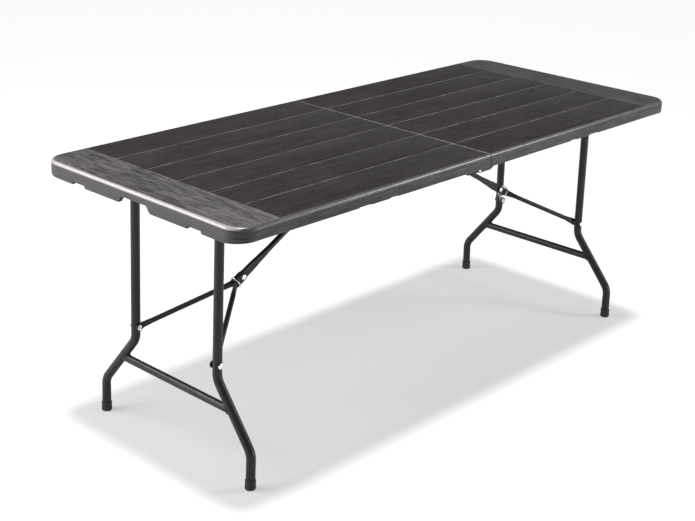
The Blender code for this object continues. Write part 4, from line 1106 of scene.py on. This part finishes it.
def build_upper_arm(builder, label, brace):
    """A tube pressed flat at both ends, with a valley down each side of the long flat at the knuckle."""
    end, tail = brace.upper_length, brace.upper_length + ARM_TAIL
    stations = [
        (-0.0109, ARM_HALF_WIDTH * 0.80, 0.0048, 5, 0.0), (-0.0100, ARM_HALF_WIDTH * 0.97, 0.0068, 6, 0.0),
        (-0.0082, ARM_HALF_WIDTH, 0.0090, 7, 0.0), (-0.0030, ARM_HALF_WIDTH, ARM_EYE_HALF_HEIGHT, 7, 0.0),
        (0.012, ARM_HALF_WIDTH, ARM_EYE_HALF_HEIGHT, 7, 0.0), (0.040, 0.0069, 0.0095, 3, 0.0004),
        (0.060, ARM_RADIUS, ARM_RADIUS, 2, 0.0), (end - 0.120, ARM_RADIUS, ARM_RADIUS, 2, 0.0),
        (end - 0.075, 0.0067, 0.0100, 3, 0.0014), (end - 0.036, ARM_HALF_WIDTH, ARM_HALF_HEIGHT, 6, 0.0017),
        (end - 0.012, ARM_HALF_WIDTH, ARM_HALF_HEIGHT, 7, 0.0),
        (tail - 0.0035, ARM_HALF_WIDTH, ARM_HALF_HEIGHT, 7, 0.0),
        (tail - 0.0012, ARM_HALF_WIDTH * 0.97, ARM_HALF_HEIGHT * 0.93, 6, 0.0),
        (tail, ARM_HALF_WIDTH * 0.80, ARM_HALF_HEIGHT * 0.82, 5, 0.0),
    ]
    rings = [section(brace.top + brace.along * s[0], AXIS_Y, brace.up, *s[1:]) for s in eased(stations)]
    arm = builder.piece(label + "_upper_brace", label + "_upper_arm", "painted", loft(rings),
                        label + "_brace_upper_arm", sharp=50.0)
    builder.carve(arm, drill(brace.top, CROSS_TUBE_RADIUS + GAP, 0.03),
                  drill(brace.knuckle, RIVET_RADIUS + GAP, 0.03))


def build_knuckle_rivet(builder, label, brace):
    """The rivet through the upper arm and both lower arms, domed at both ends."""
    seat = ARM_HALF_WIDTH + STRAP_THICKNESS + 3 * GAP
    head = dome(seat, RIVET_HEAD_RADIUS, RIVET_HEAD_HEIGHT)
    end = head[-1][0]
    builder.piece(label + "_knuckle_pin", label + "_upper_arm", "zinc",
                  turned(brace.knuckle - AXIS_Y * end, AXIS_Y, mirrored([(seat, RIVET_RADIUS)] + head, end)),
                  label + "_knuckle_rivet", sharp=50.0)


def build_lower_arm(builder, label, place, brace, y_side):
    """A tube with flattened ends that spreads from the knuckle to the inner side of one leg."""
    strap = STRAP_THICKNESS / 2
    near = ARM_HALF_WIDTH + GAP + strap
    far = LEG_HALF_SPACING - LEG_RADIUS - STRAP_CLEARANCE - strap
    length = brace.lower_length
    bend_near, bend_far = STRAP_NEAR_FLAT, length - STRAP_FAR_FLAT
    slope = (far - near) / (bend_far - bend_near)
    thick = LOWER_ARM_RADIUS * math.hypot(1, slope)

    def centre_y(spot):
        t = min(max((spot - bend_near) / (bend_far - bend_near), 0), 1)
        return near + (far - near) * t

    stations = [
        (-0.0118, strap * 0.7, 0.0046, 4), (-0.0110, strap, 0.0062, 5), (-0.0085, strap, 0.0095, 6),
        (0.0, strap, 0.0115, 6), (0.026, strap, 0.0115, 6), (0.033, strap * 1.3, 0.0105, 5),
        (0.046, thick * 0.55, 0.0087, 3), (0.062, thick, LOWER_ARM_RADIUS, 2),
        (length - 0.038, thick, LOWER_ARM_RADIUS, 2), (length - 0.024, thick * 0.5, 0.0087, 3),
        (length - 0.014, strap * 1.3, 0.0100, 5), (length - 0.008, strap, 0.0105, 6),
        (length + 0.004, strap, 0.0105, 6), (length + 0.009, strap, 0.0080, 6),
        (length + 0.0112, strap, 0.0056, 5), (length + 0.0120, strap * 0.7, 0.0038, 4),
    ]
    rings = []
    for spot, half_width, half_height, squareness in eased(stations, 4):
        centre = brace.knuckle + brace.along * spot + AXIS_Y * (y_side * centre_y(spot))
        rings.append(section(centre, AXIS_Y, brace.up, half_width, half_height, squareness))
    body = label + "_lower_arms"
    name = label + "_" + place
    arm = builder.piece(name + "_lower_brace", body, "painted", loft(rings), name + "_brace_lower_arm",
                        sharp=50.0)
    builder.carve(arm, drill(brace.knuckle + AXIS_Y * (y_side * near), RIVET_RADIUS + GAP, 0.006),
                  drill(brace.rivet + AXIS_Y * (y_side * far), RIVET_RADIUS + GAP, 0.006))
    seat = brace.rivet + AXIS_Y * (y_side * (far - strap))
    outer = [(-0.0022, RIVET_RADIUS), (0.0, RIVET_RADIUS), (0.0001, 0.0066), (0.0007, 0.0068), (0.0012, 0.0060),
             (0.0013, 0.0048)]
    inner = [(-0.0022, 0.0026), (-0.001, 0.0026), (-0.0006, 0.0026), (0.0, 0.0026), (0.0006, 0.0028),
             (0.0011, 0.0036)]
    builder.piece(name + "_brace_eyelet", body, "zinc", turned(seat, AXIS_Y * -y_side, outer, inner),
                  sharp=60.0)


def build_lock_ring(builder, label, brace):
    """A loose ring of round wire with a butt weld."""
    centre = brace.knuckle + brace.along * RING_OFFSET
    rings = []
    for k in range(72):
        angle = 2 * math.pi * k / 72
        outward = AXIS_Y * math.cos(angle) + brace.up * math.sin(angle)
        swell = 1 + 0.16 * math.exp(-((k - 46) / 1.3) ** 2)
        rings.append(circle(centre + outward * RING_RADIUS, outward, brace.along, RING_WIRE_RADIUS * swell, 16))
    builder.piece(label + "_brace_ring", label + "_lock_ring", "zinc", loft(rings, closed_loop=True),
                  label + "_lock_ring", sharp=60.0)


# The whole table

def build_half(builder, side, label):
    half, frame_body = label + "_half", label + "_leg_frame"
    plane, brace = LegPlane(side), Brace(side)
    build_panel(builder, label, side)
    build_cross_tube(builder, label, side)
    build_pivot_tube(builder, label, plane)
    build_stretcher(builder, label, plane)
    build_upper_arm(builder, label, brace)
    build_knuckle_rivet(builder, label, brace)
    build_lock_ring(builder, label, brace)
    for y_side, place in PLACES:
        start = label + "_" + place
        build_rail(builder, start, half, side, y_side)
        build_screws(builder, start, half, side, y_side)
        build_bracket(builder, start, half, side, y_side)
        build_bush(builder, start, half, side, y_side)
        build_leg(builder, start, frame_body, plane, y_side)
        build_foot(builder, start, frame_body, plane, y_side)
        build_leg_rivet(builder, start, frame_body, plane, y_side)
        build_lower_arm(builder, label, place, brace, y_side)
        build_leaf(builder, place, label, side, y_side)


# Camera, floor and light

CAMERA_PLACE = (-2.8115, -2.4728, 1.7703)
CAMERA_ANGLES = (47.12, 21.18, 1.76)      # yaw from +Y towards +X, pitch down, roll, in degrees
CAMERA_LENS = 69.6
FLOOR_REACH = 30.0


def add_camera():
    """A long lens in front of the left end, looking down at the table."""
    yaw, pitch, roll = (math.radians(angle) for angle in CAMERA_ANGLES)
    forward = Vector((math.sin(yaw) * math.cos(pitch), math.cos(yaw) * math.cos(pitch), -math.sin(pitch)))
    level = Vector((math.cos(yaw), -math.sin(yaw), 0))
    raised = level.cross(forward)
    right = level * math.cos(roll) + raised * math.sin(roll)
    up = raised * math.cos(roll) - level * math.sin(roll)
    data = bpy.data.cameras.new("camera")
    data.lens, data.sensor_width, data.clip_end = CAMERA_LENS, 36.0, 60.0
    camera = add_object("camera", data)
    axes = Matrix((right, up, -forward)).transposed().to_4x4()
    camera.matrix_world = Matrix.Translation(CAMERA_PLACE) @ axes
    bpy.context.scene.camera = camera


def add_floor():
    """A wide pale floor, faintly self-lit like a light table, so that it stays white to its edge."""
    mesh = bpy.data.meshes.new("floor")
    mesh.from_pydata([(a * FLOOR_REACH, b * FLOOR_REACH, 0) for a, b in ((-1, -1), (1, -1), (1, 1), (-1, 1))],
                     [], [(0, 1, 2, 3)])
    floor = add_object("floor", mesh)
    material = bpy.data.materials.new("floor")
    material.use_nodes = True
    inputs = material.node_tree.nodes["Principled BSDF"].inputs
    for key, value in (("Base Color", (0.245, 0.245, 0.245, 1.0)), ("Roughness", 0.9),
                       ("Specular IOR Level", 0.0),
                       ("Emission Color", (1.0, 1.0, 1.0, 1.0)), ("Emission Strength", 0.452)):
        inputs[key].default_value = value
    mesh.materials.append(material)


def add_area(name, place, target, size, power):
    data = bpy.data.lights.new(name, "AREA")
    data.shape, data.energy = "RECTANGLE", power
    data.size, data.size_y = size
    lamp = add_object(name, data)
    lamp.location = place
    lamp.rotation_euler = (Vector(target) - Vector(place)).to_track_quat("-Z", "Y").to_euler()


def add_world():
    """A studio dome: bright overhead, dim lower down, and a white band where the backdrop meets the floor."""
    world = bpy.data.worlds.new("studio")
    bpy.context.scene.world = world
    world.use_nodes = True
    sky = Nodes(world.node_tree)
    height = sky.split(sky.node("ShaderNodeTexCoord").outputs["Generated"])["Z"]
    dome_light, horizon = sky.ramp(height, 0.25, 0.9, 0.10, 0.42), sky.ramp(height, 0.07, 0.10, 0.95, 0.0)
    background = sky.nodes["Background"].inputs
    sky.put(background["Color"], (0.99, 0.99, 1.0, 1.0))
    sky.put(background["Strength"], sky.maths("ADD", dome_light, horizon))


def add_lights():
    """A broad key overhead, and softboxes behind the left end, at the left, at the right and in front."""
    data = bpy.data.lights.new("overhead", "SUN")
    data.energy = 5.3
    data.angle = math.radians(6.5)
    add_object("overhead", data)
    add_area("back_softbox", (-2.5, 1.9, 2.3), (-0.9, 0, 0.6), (2.2, 0.9), 110)
    add_area("left_softbox", (-3.5, 1.2, 1.1), (-0.9, 0, 0.6), (1.6, 1.2), 62)
    add_area("right_softbox", (2.3, -1.9, 2.4), (-0.1, -0.3, 0.5), (0.5, 1.3), 62)
    add_area("front_softbox", (1.5, -3.2, 0.75), (-0.3, 0, 0.5), (1.6, 0.7), 48)
    bpy.context.scene.view_settings.view_transform = "Standard"


def main():
    builder = Builder(make_finishes())
    for side, label in SIDES:
        build_half(builder, side, label)
    for y_side, place in PLACES:
        build_hinge_pin(builder, place, y_side)
    add_camera()
    add_floor()
    add_world()
    add_lights()


main()
